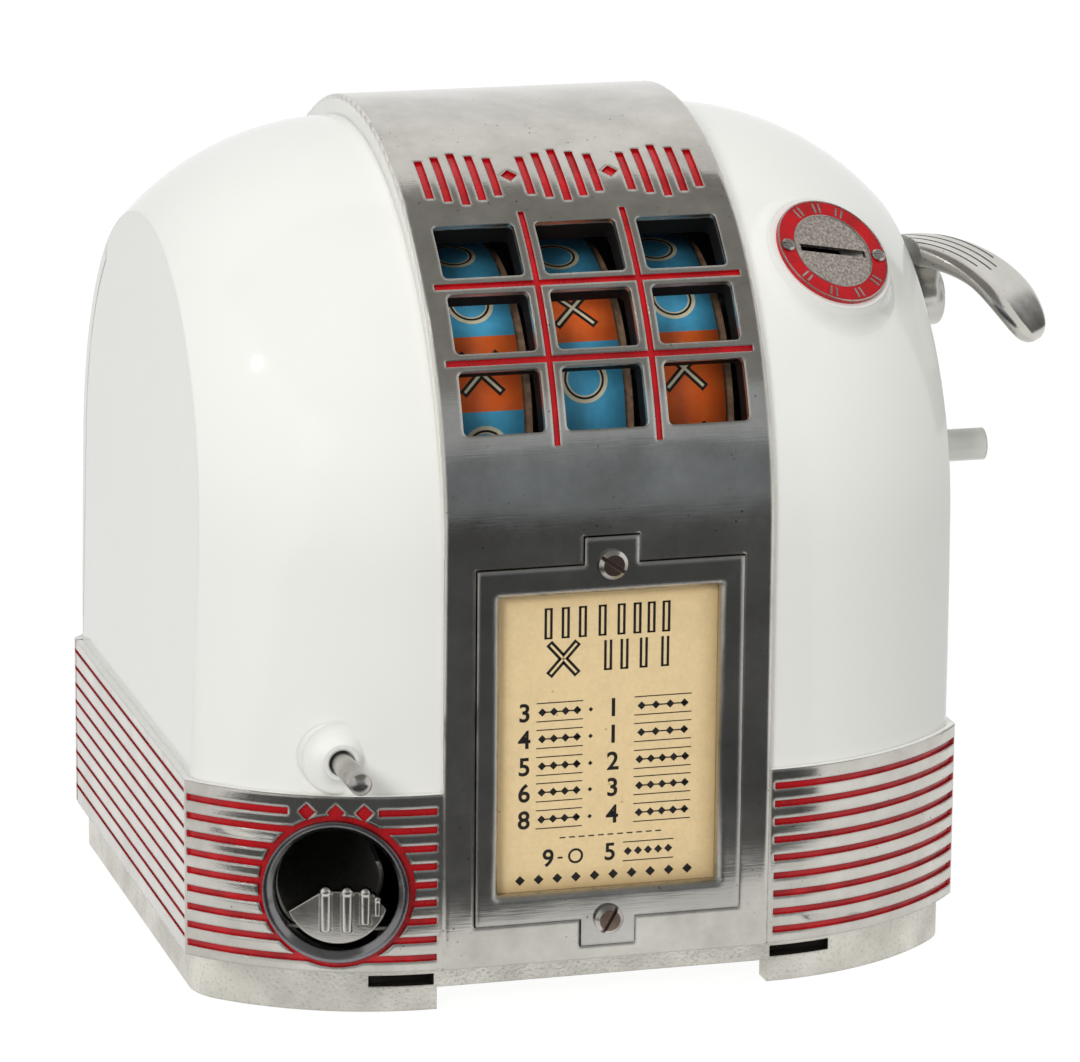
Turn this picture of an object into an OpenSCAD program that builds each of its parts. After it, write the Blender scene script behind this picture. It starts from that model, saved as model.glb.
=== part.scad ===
// Counter-top trade stimulator: a crowned cast cabinet with three reels behind a grid of windows,
// a side lever, a coin entry, an award card and a gum port.
// Millimetres, +Z up, front towards -Y, lever towards +X, floor under the plinth's centre at the origin.

/* [Cabinet] */
// Radius of the polished band over the crown
band_r = 101; // [96:0.5:108]
// Height of the crown's axis above the floor
axis_z = 121.5; // [118:0.5:132]
// Width of the polished band
band_w = 88.6; // [84:0.2:92]
// How far the band stands proud of the white body
band_raise = 2.6; // [1.5:0.1:3.5]
// How far the body's crown lies below the band's, besides that
crown_drop = 2.8; // [1.5:0.1:3.2]
// Rounding of the band's long edges
band_edge_r = 1.4; // [0.6:0.1:2]
// Radius of the body's shoulders
shoulder_r = 78; // [75:0.5:82]
// Half width of the body at the ledge
cheek_x = 103.8; // [101:0.1:106]
// Inward lean of the flat cheeks, in degrees
cheek_lean = 1.5; // [0.5:0.1:2]
// Radius of the body's upright corners
corner_r = 8; // [6:0.5:10]
// Wall thickness of the castings
wall = 3.5; // [2.5:0.1:4.5]
// Where the rear door's seam crosses the crown, behind the axis
seam_y = 46; // [40:0.5:52]
// Radius of the cheeks' rear arch, where the rear door's sides begin
arch_r = 68.5; // [64:0.5:69]

/* [Skirt and plinth] */
// Height of the ledge on top of the skirt
ledge_z = 59; // [58:0.5:62]
// Half width of the skirt
skirt_x = 105.8; // [104.5:0.1:108]
// How far the skirt stands proud of the body
skirt_proud = 1.6; // [1:0.1:2.2]
// Number of grooves round the skirt
line_count = 9; // [6:1:9]
// Spacing of the grooves
line_pitch = 4.93; // [4.4:0.01:5.1]
// Height of the top groove
line_top_z = 54.5; // [53:0.1:56]
// Height of a front groove
line_w = 1.8; // [1.2:0.1:2.4]
// Height of a groove on the cheeks
side_line_w = 1.1; // [0.8:0.1:1.6]
// How much higher the cheek grooves lie
side_line_rise = 1.3; // [0:0.1:2]
// Depth of the grooves
line_depth = 0.8; // [0.4:0.1:1.2]
// Height of the plinth
plinth_h = 11.5; // [10:0.5:12.5]
// How far the plinth is set in from the skirt
plinth_inset = 2.5; // [1.5:0.1:3.5]
// Width of the gap between the feet
foot_gap_w = 90; // [70:1:96]
// Height of the gap between the feet
foot_gap_h = 6; // [4:0.5:7]
// Thickness of the plinth's floor
floor_t = 3.5; // [2.5:0.5:4]
// Diameter of the foot under the middle of the plinth
mid_foot_d = 20; // [14:1:30]
// Length of the two slots in the plinth's front edge
edge_slot_l = 17; // [12:0.5:20]

/* [Windows] */
// Width of a reel window
win_w = 21.7; // [18:0.1:23]
// Height of a reel window
win_h = 16.4; // [14:0.1:17]
// Spacing of the window columns
win_col = 27.3; // [26.8:0.1:28]
// Angle of the middle window row above the horizontal
row_mid = 34.5; // [33:0.1:36]
// Angle between window rows
row_step = 12.05; // [11.8:0.05:12.4]
// Corner radius of a window
win_corner = 1.4; // [0.6:0.1:2.5]
// Width of the grid's grooves between the windows
grid_w = 1.6; // [1:0.1:2]
// Thickness of the clear pane behind the windows
pane_t = 1.2; // [0.8:0.1:2]

/* [Award card] */
// Width of the card frame
frame_w = 71.4; // [66:0.2:76]
// Height of the card frame
frame_h = 95; // [88:0.5:97]
// Height of the card frame's centre
frame_z = 70.3; // [69:0.1:72]
// Thickness of the card frame
frame_t = 3; // [2:0.1:3]
// Height of the card frame over the band
frame_proud = 0.7; // [0.4:0.1:1]
// Width of the opening in the card frame
card_w = 59.3; // [50:0.1:62]
// Height of the opening in the card frame
card_h = 79.9; // [70:0.1:82]
// Width of the frame's screw tabs
tab_w = 14.4; // [12:0.2:18]
// How far a screw tab stands out of the frame
tab_h = 7.3; // [5.5:0.1:8]

/* [Coin entry] */
// Angle of the coin entry above the horizontal
coin_angle = 45.1; // [43:0.1:48]
// Sideways place of the coin entry
coin_x = 69; // [66:0.5:72]
// Outside diameter of the coin entry's ring
ring_d = 32.4; // [31:0.1:34]
// Diameter of the slotted disc
disc_d = 22.3; // [22.2:0.1:23.5]
// Thickness of the ring and the disc
ring_t = 1.2; // [1:0.1:2]
// Length of the coin slot
slot_l = 19.6; // [19.4:0.1:20.2]
// Width of the coin slot
slot_w = 2.2; // [1.8:0.1:3]
// Slope of the coin pad, in degrees from upright
pad_angle = 47.6; // [45:0.1:50]
// Sideways turn of the coin pad, in degrees
pad_turn = 14.5; // [12:0.1:18]

/* [Gum port] */
// Sideways place of the gum port, left of the middle
gum_x = 71.5; // [69:0.5:74]
// Height of the gum port's centre
gum_z = 33.3; // [32:0.1:34.5]
// Diameter of the gum port
port_d = 32.6; // [30:0.2:34]
// Outside diameter of the port's rim
rim_d = 38; // [36:0.2:40]
// Width of the groove round the rim
rim_line_w = 1.5; // [1:0.1:2]
// Inside radius of the gum chute
chute_r = 13.2; // [12:0.1:13.4]

/* [Gum plunger] */
// Sideways place of the plunger, left of the middle
plunger_x = 70.8; // [68:0.1:73]
// Height of the plunger
plunger_z = 69; // [67.5:0.1:71]
// Diameter of the plunger's rod
plunger_d = 5.8; // [5:0.1:6.4]
// How far the rod stands out of the body
plunger_out = 26.7; // [23:0.1:29]
// How far the plunger can be pressed in
plunger_travel = 16; // [10:0.5:17]

/* [Lever] */
// Distance of the lever's shaft in front of the crown's axis
lever_y = 18; // [16:0.5:20]
// Height of the lever's shaft
lever_z = 165; // [162:0.5:168]
// Diameter of the lever's shaft
shaft_d = 10; // [8:0.5:10]
// Forward sweep of the paddle, in degrees
paddle_sweep = 40; // [36:1:46]
// Radius of the paddle's bend
paddle_r = 38.9; // [37:0.1:42]
// Largest half width of the paddle
paddle_hw = 13.1; // [12:0.1:15]
// Distance of the lever's stop in front of the crown's axis
stop_y = 36; // [34:0.5:38]
// Height of the lever's stop
stop_z = 127.1; // [125:0.1:129]
// Diameter of the lever's stop
stop_d = 8.8; // [7:0.1:9]
// Length of the lever's stop
stop_l = 22.2; // [20:0.1:26]

/* [Reels] */
// Radius of a reel over its printed strip
reel_r = 48; // [46:0.5:50]
// Width of a reel
reel_w = 21; // [19:0.2:22]
// Distance from the band's face down to the strips
reel_setback = 17; // [16:0.5:19]
// Number of symbols round a reel
symbols = 15; // [12:1:16]
// Diameter of the reel shaft
reel_shaft_d = 8; // [7:0.5:9]
// Radius of a star wheel
star_r = 20; // [18:0.5:22]

/* [Hidden] */
$fn = 96;

// Colours
enamel_white = [0.93, 0.93, 0.90];
enamel_red = [0.75, 0.10, 0.12];
cast_metal = [0.66, 0.66, 0.65];
steel = [0.60, 0.61, 0.63];
brass = [0.72, 0.58, 0.30];
paper = [0.93, 0.86, 0.70];
clear_sheet = [0.80, 0.88, 0.90, 0.4];
print_blue = [0.29, 0.62, 0.75];

// Clearances
seam_gap = 0.4;      // round the rear door
fit_gap = 0.3;       // between pieces that move past each other
snug_gap = 0.1;      // between pieces that are fastened together
run_gap = 0.05;      // of a shaft in its bearing, on the radius
far = 170;           // longer than the cabinet, for cutting blocks

// Cabinet
half_band = band_w / 2;
body_r = band_r - band_raise;
cavity_r = body_r - wall;
skirt_r = body_r + skirt_proud;
skirt_shoulder = shoulder_r + skirt_proud;
skirt_corner_r = 0.8;
cavity_low = plinth_h - 1;
crest_z = axis_z + band_r;

// Distance of the body's face from the crown's axis, at a sideways place x beyond the band
function face_u(x, r0, sr) = r0 - sr + sqrt(sr * sr - pow(x - half_band, 2));
// Turn of the body's face at a sideways place x beyond the band
function face_turn(x, sr) = asin((x - half_band) / sr);
// Inside face of the leaning cheek at a height
function cheek_at(z) = cheek_x - (z - ledge_z) * tan(cheek_lean);
skirt_corner_u = face_u(skirt_x, skirt_r, skirt_shoulder);

// Grooves
line_end_gap = 1.4;                       // bare metal between a groove's end and the band
bare_x = [gum_x - 11, gum_x + 12.5];       // bare stretch of the top groove over the port
grid_reach = row_step * 1.56;              // how far the upright grid grooves run past the middle row
grid_half_l = half_band - 3.3;
lozenge_w = 3.2;
deco_angle = row_mid + row_step * 2.2;     // middle of the ornament over the windows
deco_bars = 5;
deco_w = 2.2;
deco_pitch = 4.6;
deco_h = 20.6;
deco_step = 2.8;                           // height lost with each bar away from the middle
port_lozenge_pitch = 7;

// Plinth
plinth_r = skirt_r - plinth_inset;
plinth_rim = 6;
foot_gap_y = 60;      // the gaps between the feet begin here
plinth_corner_r = 16;
edge_slot_h = 3;
edge_slot_z = 8.3;
edge_slot_depth = 5;
boss_r = 6;
boss_x = 90;
boss_y = 50;
boss_h = 18;
rib_t = 6;
screw_r = 2;
screw_head_r = 3.9;
screw_head_t = 2.6;
screw_depth = 12;

// Rear door hinge and lock
hinge_r = 3.2;
hinge_pin_r = 1.5;
hinge_y = band_r + hinge_r + fit_gap;
hinge_z = plinth_h + hinge_r + fit_gap;
hinge_x = 30;
knuckle_l = 8;
lock_z = 98;
lock_r = 8;
lock_flange_r = 10.5;
lock_flange_t = 2;
lock_plug_r = 5;
lock_l = 20;
key_slot = [1.6, 7];
cam_l = 20;
cam_w = 8;
cam_t = 2.5;
keeper_w = 24;
keeper_t = 2.5;
keeper_overlap = 6;

// Pane behind the windows
pane_lap = 11;        // degrees past the outer rows
pane_edge = 2;

// Award card
card_pocket = 1.8;
card_t = 0.5;
cover_t = 0.9;
card_margin = 1.4;
frame_face_y = -band_r - frame_proud;
frame_seat_y = -band_r + frame_t;
frame_bevel = 1.2;
screw8_r = 2;
screw8_head_r = 3.9;
screw8_head_t = 2;
screw8_l = 7;
screw8_z = [frame_z - frame_h / 2 - 0.4, frame_z + frame_h / 2 + 0.1];

// Coin entry
pad_r = ring_d / 2 + 1.6;
pad_raise = 0.6;
pad_root = 7;
pad_flare = 2.2;
coin_hole_r = disc_d / 2 - 0.9;
coin_screw_at = (ring_d + disc_d) / 4;
coin_screw_r = 1.1;
coin_screw_head_r = 1.9;
coin_screw_l = 5;
coin_u = face_u(coin_x, body_r, shoulder_r);
coin_mid = [coin_x, -coin_u * cos(coin_angle), axis_z + coin_u * sin(coin_angle)];

// Coin chute and cash box
chute_in = [27, 12];
chute_wall = 1.5;
coin_chute_x = coin_x - 1;
coin_chute_y = coin_mid[1] + 9;
coin_chute_drop = 20;
coin_chute_top = coin_mid[2] - coin_chute_drop;
cash_wall = 1.5;
cash_y = [-70, 34];
cash_top = 78;
cash_far_x = boss_x - boss_r - 0.5;
chute_drop = 3;

// Mechanism frame
plate_x = 43;
plate_t = 2;
plate_foot = 8;
plate_y = [-62, 45];
plate_top_z = 178;
plate_top_y = [-40, 34];
tie_r = 3;
cash_x = [plate_x + plate_t + plate_foot + 1, cash_far_x];
tie_places = [[-52, 62], [36, 62], [27, 171]];
nut_r = 5;
nut_t = 4;
foot_screw_x = plate_x + plate_t + plate_foot * 0.55;
foot_screw_y = [-45, 28];
foot_screw_r = 1.6;
foot_screw_head_r = 3;
foot_screw_head_t = 2;

// Reels
reel_c = band_r - reel_setback - reel_r;
reel_y = -reel_c * cos(row_mid);
reel_z = axis_z + reel_c * sin(row_mid);
reel_sides = [-win_col, 0, win_col];
strip_t = 0.45;
rim_t = 2.4;
web_t = 2;
hub_r = 8;
star_t = 2.5;
star_root = 3.5;
spacer_r = 7;
side_play = 0.2;
bail_at = 55;
bail_shaft_r = 3;
bail_hub_r = 6;
bail_t = 2;
bail_arm_w = 6;
bail_clear = 0.5;
bail_collar_t = 3;
stop_bail_angle = 20;
kicker_bail_angle = -62;

// Lever
lever_gap = 1.2;
lever_hub_r = 8;
lever_hub_l = 13;
lever_in_x = cheek_x + lever_gap - 1.5;
lever_root = [99.5, -25.5, 182.5];
paddle_slope = 13;
paddle_tip_turn = 63;
paddle_under_r = paddle_r - 5.5;
paddle_under = [4.35, -1.4];
paddle_flare = 0.24;
paddle_end = paddle_r * (sin(paddle_slope) + sin(paddle_tip_turn)) + 2.4;
paddle_tip_r = 2.3;
paddle_ease = 0.06;                        // sets the round ends just inside the outlines that they meet
paddle_back = 8;
lever_grooves = 4;
lever_groove_pitch = 4.2;
lever_groove_w = 0.9;
lever_groove_depth = 0.7;
lever_groove_end = 36;
lever_pin_r = 1.5;
shaft_r = shaft_d / 2;
bush_flange_r = 9;
bush_flange_t = 2.2;
bush_r = 7;
bush_l = 9;
crank_x = 48;
crank_t = 5;
crank_hub_r = 9;
crank_arm = 30;
crank_arm_w = 10;
crank_pin_r = 2;
crank_pin_l = 12;
spring_r = 4.2;
spring_wire = 0.6;
spring_turns = 14;
spring_post_z = 92;
spring_post_r = 2.5;
spring_sides = 6;
spring_rings = 8;

// Gum port and plunger
gum_turn = face_turn(gum_x, skirt_shoulder);
gum_u = face_u(gum_x, skirt_r, skirt_shoulder);
rim_raise = 0.8;
rim_root = 7;
rim_bevel = 1.6;
chute_rise = 18;
chute_t = 1.2;
chute_set = 7;
chute_l = 76;
chute_roof = 26;
chute_lip = 6;                             // height of the trough's sides at the mouth
chute_clear = skirt_proud + wall + 3.1;    // depth at which the chute has passed the curved shell
chute_arm = [18, 18, 3];
flap_r = chute_r + 0.3;
flap_mid = -1.2;
flap_t = 2.4;
flap_top = -0.6;
flap_shoulder = [[-4.2, -1], [-12.5, -6.4], [10, -1.4], [13.6, -6]];
flap_rib_x = [-2.8, 2.8, 7.6, 10.7];
flap_rib_r = [1.6, 1.6, 1.5, 1];
flap_knob = 1.1;
flap_pin_r = 0.7;
flap_drop = 10.5;
flap_pin_half = sqrt(pow(port_d / 2, 2) - flap_drop * flap_drop) + 2.4;
flap_set = 3.2;
plunger_r = plunger_d / 2;
plunger_dome_r = plunger_r * 1.25;
plunger_u = face_u(plunger_x, body_r, shoulder_r);
plunger_boss_r = 9.5;
plunger_boss_top_r = plunger_r + 1.9;
plunger_boss_h = 5.5;
plunger_boss_in = 8;
plunger_mouth = [0.55, 2.5];
plunger_collar_r = 5.5;
plunger_collar_t = 2;
slide_y = 38;
slide_l = 22;
slide_w = 21;
slide_h = 18;
ball_r = 8.6;
housing_t = 1.5;
housing_l = slide_l + plunger_travel + 3;
chute_yaw = atan((gum_x - plunger_x) / (slide_y + slide_l / 2 + plunger_travel));
tube_h = 46;
plunger_spring_r = 4.4;
plunger_spring_wire = 0.5;
plunger_spring_turns = 7;

// Half outline of the cabinet, u outwards from the crown's axis along X and x along Y
module outline(r0, sr, hw, cr) {
    rc = r0 - sr;
    dx = hw - cr - half_band;
    corner_u = rc + sqrt(pow(sr - cr, 2) - dx * dx);
    meet_x = half_band + dx * sr / (sr - cr);
    translate([0, -half_band])
        square([r0, band_w]);
    translate([0, -hw])
        square([corner_u, 2 * hw]);
    for (s = [-1, 1]) {
        intersection() {
            translate([rc, s * half_band])
                circle(sr);
            translate([0, s > 0 ? 0 : -meet_x])
                square([r0, meet_x]);
        }
        translate([corner_u, s * (hw - cr)])
            circle(cr);
    }
}

// Whole footprint from the half outline: front and rear halves
module footprint(r0, sr, hw, cr) {
    rotate(-90)
        outline(r0, sr, hw, cr);
    rotate(90)
        outline(r0, sr, hw, cr);
}

// Upright walls with the half round crown over them, lowered by a drop
module crowned(z0, drop = 0) {
    translate([0, 0, axis_z - drop])
        rotate([90, 0, -90])
            rotate_extrude(angle = 180)
                children(0);
    translate([0, 0, z0])
        linear_extrude(axis_z - drop - z0) {
            rotate(-90)
                children(0);
            rotate(90)
                children(0);
        }
}

// Flat cheeks that lean inwards above the ledge
module cheek_cut(hw) {
    for (s = [-1, 1])
        translate([s * hw, 0, ledge_z])
            rotate([0, -s * cheek_lean, 0])
                translate([s > 0 ? 0 : -far, -far, -far])
                    cube([far, 2 * far, 3 * far]);
}

// The white body's form, set in by a wall for the cavity
module body_form(inset, z0) {
    difference() {
        crowned(z0, crown_drop)
            outline(body_r - inset, shoulder_r - inset, cheek_x - inset, corner_r - inset * 0.6);
        cheek_cut(cheek_x - inset);
    }
}

// Band section with rounded long edges
module band_section() {
    square_in = half_band - band_edge_r;
    translate([0, -half_band])
        square([band_r - band_edge_r, band_w]);
    translate([0, -square_in])
        square([band_r, 2 * square_in]);
    for (s = [-1, 1])
        translate([band_r - band_edge_r, s * square_in])
            circle(band_edge_r);
}

module skirt_slice(inset) {
    footprint(skirt_r - inset, skirt_shoulder - inset, skirt_x - inset, skirt_corner_r);
}

// Grooves round the skirt, on the front half
module skirt_lines() {
    front_limit = skirt_corner_u + 0.5;
    inner = half_band + line_end_gap;
    difference() {
        for (i = [0 : line_count - 1])
            translate([0, 0, line_top_z - i * line_pitch - line_w / 2])
                linear_extrude(line_w)
                    difference() {
                        translate([-far, -far])
                            square([2 * far, far - front_limit]);
                        skirt_slice(line_depth);
                        translate([-inner, -far])
                            square([2 * inner, 2 * far]);
                    }
        children();
    }
    for (s = [-1, 1], i = [0 : line_count - 1])
        translate([s * (skirt_x + 1 - (line_depth + 1) / 2), 0, line_top_z - i * line_pitch + side_line_rise])
            cube([line_depth + 1, 2 * (skirt_corner_u - 1), side_line_w], center = true);
}

// Everything in front of the rear door's seam
module ahead_of_seam(gap) {
    translate([-far, -far, -1])
        cube([2 * far, far + seam_y - gap, 3 * far]);
    translate([-far, 0, axis_z])
        rotate([0, 90, 0])
            cylinder(r = arch_r - gap, h = 2 * far);
    translate([-far, -far, -1])
        cube([2 * far, far + arch_r - gap, axis_z + 1]);
}

// Place on the band: outwards is -Y, up the crown is +Z
module on_band(angle, x) {
    translate([x, 0, axis_z])
        rotate([-angle, 0, 0])
            translate([0, -band_r, 0])
                children();
}

module coin_place() {
    translate(coin_mid)
        rotate([-pad_angle, 0, 0])
            rotate([0, 0, pad_turn])
                translate([0, -pad_raise, 0])
                    rotate([90, 0, 0])
                        children();
}

module gum_place() {
    translate([-gum_x, -gum_u, gum_z])
        rotate([0, 0, -gum_turn])
            children();
}

module plunger_place() {
    translate([-plunger_x, -plunger_u, plunger_z])
        children();
}

// Straight cylinder along +Y
module along_y(r, y0, y1) {
    translate([0, y0, 0])
        rotate([-90, 0, 0])
            cylinder(r = r, h = y1 - y0);
}

// Straight cylinder along +X
module along_x(r, x0, x1) {
    translate([x0, 0, 0])
        rotate([0, 90, 0])
            cylinder(r = r, h = x1 - x0);
}

module rounded_plate(w, h, r) {
    translate([-w / 2 + r, -h / 2])
        square([w - 2 * r, h]);
    translate([-w / 2, -h / 2 + r])
        square([w, h - 2 * r]);
    for (sx = [-1, 1], sy = [-1, 1])
        translate([sx * (w / 2 - r), sy * (h / 2 - r)])
            circle(r);
}

// Window openings and the grooves between them
module window_cuts() {
    for (row = [-1 : 1], x = reel_sides)
        on_band(row_mid + row * row_step, x)
            rotate([90, 0, 0])
                translate([0, 0, -band_r + cavity_r - crown_drop - wall])
                    linear_extrude(far / 10)
                        rounded_plate(win_w, win_h, win_corner);
    for (s = [-1, 1]) {
        on_band(row_mid + s * row_step / 2, 0)
            cube([2 * grid_half_l, 2 * line_depth, grid_w], center = true);
        translate([s * win_col / 2, 0, axis_z])
            rotate([90, 0, -90])
                rotate([0, 0, row_mid - grid_reach])
                    rotate_extrude(angle = 2 * grid_reach)
                        translate([band_r - line_depth, -grid_w / 2])
                            square([line_depth + 1, grid_w]);
    }
}

// Ornament over the windows: stepped bars over each column, lozenges between them
module deco_cuts() {
    for (x = reel_sides, i = [0 : deco_bars - 1]) {
        off = i - (deco_bars - 1) / 2;
        half_turn = (deco_h - abs(off) * deco_step) / 2 / band_r * 180 / PI;
        translate([x + off * deco_pitch, 0, axis_z])
            rotate([90, 0, -90])
                rotate([0, 0, deco_angle - half_turn])
                    rotate_extrude(angle = 2 * half_turn)
                        translate([band_r - line_depth, -deco_w / 2])
                            square([line_depth + 1, deco_w]);
    }
    for (s = [-1, 1])
        on_band(deco_angle, s * win_col / 2)
            rotate([0, 45, 0])
                cube([lozenge_w, 2 * line_depth, lozenge_w], center = true);
    for (i = [-1 : 1])
        on_skirt(gum_x + i * port_lozenge_pitch, line_top_z)
            rotate([0, 45, 0])
                cube([lozenge_w, 2 * line_depth, lozenge_w], center = true);
}

// Place on the skirt's left front: outwards is -Y
module on_skirt(x, z) {
    translate([-x, -face_u(x, skirt_r, skirt_shoulder), z])
        rotate([0, 0, -face_turn(x, skirt_shoulder)])
            children();
}

module frame_outline(grow) {
    w = frame_w + 2 * grow;
    translate([-w / 2, -frame_h / 2 - grow])
        square([w, frame_h + 2 * grow]);
    translate([-tab_w / 2 - grow, -frame_h / 2 - tab_h - grow])
        square([tab_w + 2 * grow, frame_h + 2 * tab_h + 2 * grow]);
}

// Upright plate at the card frame: drawn in X and Z, growing backwards from a face
module on_front(y, t) {
    translate([0, y + t, frame_z])
        rotate([90, 0, 0])
            linear_extrude(t)
                children();
}

module screw_post(x, y) {
    side = x > 0 ? 1 : -1;
    translate([x, y, plinth_h])
        cylinder(r = boss_r, h = boss_h);
    translate([side > 0 ? x : x - (cheek_x - boss_x), y - rib_t / 2, plinth_h])
        cube([cheek_x - boss_x, rib_t, boss_h]);
}

module front_casting() {
    color(enamel_white)
        difference() {
            union() {
                intersection() {
                    difference() {
                        union() {
                            body_form(0, plinth_h);
                            crowned(plinth_h)
                                band_section();
                            translate([0, 0, plinth_h])
                                linear_extrude(ledge_z - plinth_h)
                                    skirt_slice(0);
                            coin_place()
                                translate([0, 0, -pad_root])
                                    cylinder(r1 = pad_r + pad_flare, r2 = pad_r, h = pad_root);
                            gum_place()
                                along_y(rim_d / 2, -rim_raise, rim_root);
                            plunger_boss();
                        }
                        body_form(wall, cavity_low);
                        skirt_lines()
                            gum_place() {
                                along_y(rim_d / 2 + rim_line_w / 2, -far / 10, far / 10);
                                translate([gum_x - bare_x[1], -far / 10, line_top_z - gum_z - line_pitch / 2])
                                    cube([bare_x[1] - bare_x[0], far / 5, line_pitch]);
                            }
                        rim_groove();
                    }
                    ahead_of_seam(0);
                }
                for (sx = [-1, 1], sy = [-1, 1])
                    screw_post(sx * boss_x, sy * boss_y);
                plunger_place()
                    along_y(plunger_boss_in, 1, plunger_boss_in);
                translate([0, -stop_y, stop_z])
                    along_x(stop_d / 2, cheek_at(stop_z) - 1, cheek_at(stop_z) + stop_l);
            }
            window_cuts();
            deco_cuts();
            on_front(-band_r - 1, frame_t + 1)
                frame_outline(seam_gap);
            on_front(frame_seat_y - 1, card_pocket + 1)
                square([card_w + 2 * card_margin, card_h + 2 * card_margin], center = true);
            for (z = screw8_z)
                translate([0, 0, z])
                    along_y(screw8_r + snug_gap, -band_r, -cavity_r + 1);
            coin_place() {
                translate([0, 0, -far / 10])
                    cylinder(r = coin_hole_r, h = far / 5);
                for (s = [-1, 1])
                    translate([s * coin_screw_at, 0, -coin_screw_l])
                        cylinder(r = coin_screw_r + snug_gap, h = coin_screw_l + 1);
            }
            gum_place() {
                along_y(port_d / 2, -far / 10, far / 10);
                rotate([-90, 0, 0])
                    translate([0, 0, -rim_raise])
                        cylinder(r1 = port_d / 2 + rim_bevel, r2 = port_d / 2, h = rim_bevel);
                translate([0, flap_set, -flap_drop])
                    along_x(flap_pin_r + snug_gap, -flap_pin_half - snug_gap, flap_pin_half + snug_gap);
            }
            plunger_place() {
                along_y(plunger_r + run_gap, -far / 10, far / 10);
                along_y(plunger_r + plunger_mouth[0], -far / 10, plunger_mouth[1] - plunger_boss_h);
            }
            translate([0, -lever_y, lever_z])
                along_x(bush_r + snug_gap, cheek_x - far / 10, cheek_x + far / 10);
            for (sx = [-1, 1], sy = [-1, 1])
                translate([sx * boss_x, sy * boss_y, plinth_h - 1])
                    cylinder(r = screw_r + snug_gap, h = screw_depth + 2);
        }
}

// Flared boss round the plunger's rod
module plunger_boss() {
    fillet_r = plunger_boss_r - plunger_boss_top_r;
    plunger_place()
        rotate([90, 0, 0])
            rotate_extrude()
                difference() {
                    translate([0, -plunger_boss_h])
                        square([plunger_boss_r, 2 * plunger_boss_h]);
                    translate([plunger_boss_r, plunger_boss_h])
                        circle(fillet_r);
                }
}

// Ring groove round the gum port, of even depth on the curved skirt
module rim_groove() {
    intersection() {
        difference() {
            gum_place()
                along_y(rim_d / 2 + rim_line_w, -far / 10, rim_root);
            gum_place()
                along_y(rim_d / 2, -far / 10, rim_root + 1);
        }
        difference() {
            translate([0, 0, plinth_h + 1])
                linear_extrude(ledge_z - plinth_h - 2)
                    translate([-far, -far])
                        square([far, far]);
            translate([0, 0, plinth_h])
                linear_extrude(ledge_z - plinth_h)
                    skirt_slice(line_depth);
        }
    }
}

module rear_door() {
    color(enamel_white)
        difference() {
            union() {
                difference() {
                    union() {
                        body_form(0, plinth_h + fit_gap);
                        crowned(plinth_h + fit_gap)
                            band_section();
                        translate([0, 0, plinth_h + fit_gap])
                            linear_extrude(ledge_z - plinth_h - fit_gap)
                                skirt_slice(0);
                    }
                    body_form(wall, cavity_low);
                    mirror([0, 1, 0])
                        skirt_lines();
                    ahead_of_seam(-seam_gap);
                }
                for (s = [-1, 1])
                    translate([s * (hinge_x + knuckle_l / 2 + fit_gap / 2) - knuckle_l / 2,
                        hinge_y, hinge_z]) {
                        along_x(hinge_r, 0, knuckle_l);
                        translate([0, -hinge_r - fit_gap - 1, -hinge_r / 2])
                            cube([knuckle_l, hinge_r + 1 + fit_gap, hinge_r]);
                    }
            }
            for (s = [-1, 1])
                translate([s * hinge_x, hinge_y, hinge_z])
                    along_x(hinge_pin_r + run_gap, -2 * knuckle_l, 2 * knuckle_l);
            translate([0, 0, lock_z])
                along_y(lock_r + snug_gap, cavity_r - 1, band_r + 1);
        }
}

module door_hinge_pins() {
    color(steel)
        for (s = [-1, 1])
            translate([s * hinge_x, hinge_y, hinge_z])
                along_x(hinge_pin_r, -knuckle_l - 1, knuckle_l + 1);
}

module lock_body() {
    color(steel)
        translate([0, 0, lock_z])
            difference() {
                union() {
                    along_y(lock_r, band_r - lock_l, band_r);
                    along_y(lock_flange_r, band_r, band_r + lock_flange_t);
                }
                along_y(lock_plug_r + run_gap, band_r - lock_l - 1, band_r + lock_flange_t + 1);
            }
}

module lock_plug() {
    color(brass)
        translate([0, 0, lock_z])
            difference() {
                along_y(lock_plug_r, band_r - lock_l - cam_t - 2 * fit_gap, band_r + lock_flange_t);
                translate([0, band_r + lock_flange_t, 0])
                    cube([key_slot[0], 6, key_slot[1]], center = true);
                translate([0, band_r - lock_l - cam_t / 2 - fit_gap - 1, 0])
                    difference() {
                        cube([3 * lock_plug_r, cam_t + 2, 3 * lock_plug_r], center = true);
                        cube([lock_plug_r, cam_t + 3, lock_plug_r], center = true);
                    }
            }
}

// Cam lying sideways, turned down behind the keeper when locked
module lock_cam() {
    color(steel)
        translate([0, band_r - lock_l - fit_gap, lock_z])
            difference() {
                union() {
                    along_y(lock_plug_r + 1, -cam_t, 0);
                    translate([0, -cam_t, -cam_w / 2])
                        cube([cam_l, cam_t, cam_w]);
                }
                translate([0, -cam_t / 2, 0])
                    cube([lock_plug_r + 2 * snug_gap, cam_t + 2, lock_plug_r + 2 * snug_gap], center = true);
            }
}

// Upright keeper on the plinth's floor
module lock_keeper() {
    keeper_y = band_r - lock_l + 1;
    color(steel) {
        translate([-keeper_w / 2, keeper_y, plinth_h])
            cube([keeper_w, keeper_t, lock_z - cam_l + keeper_overlap - plinth_h]);
        translate([-keeper_w / 2, keeper_y - keeper_w / 2, plinth_h])
            cube([keeper_w, keeper_w / 2, keeper_t]);
    }
}

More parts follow.
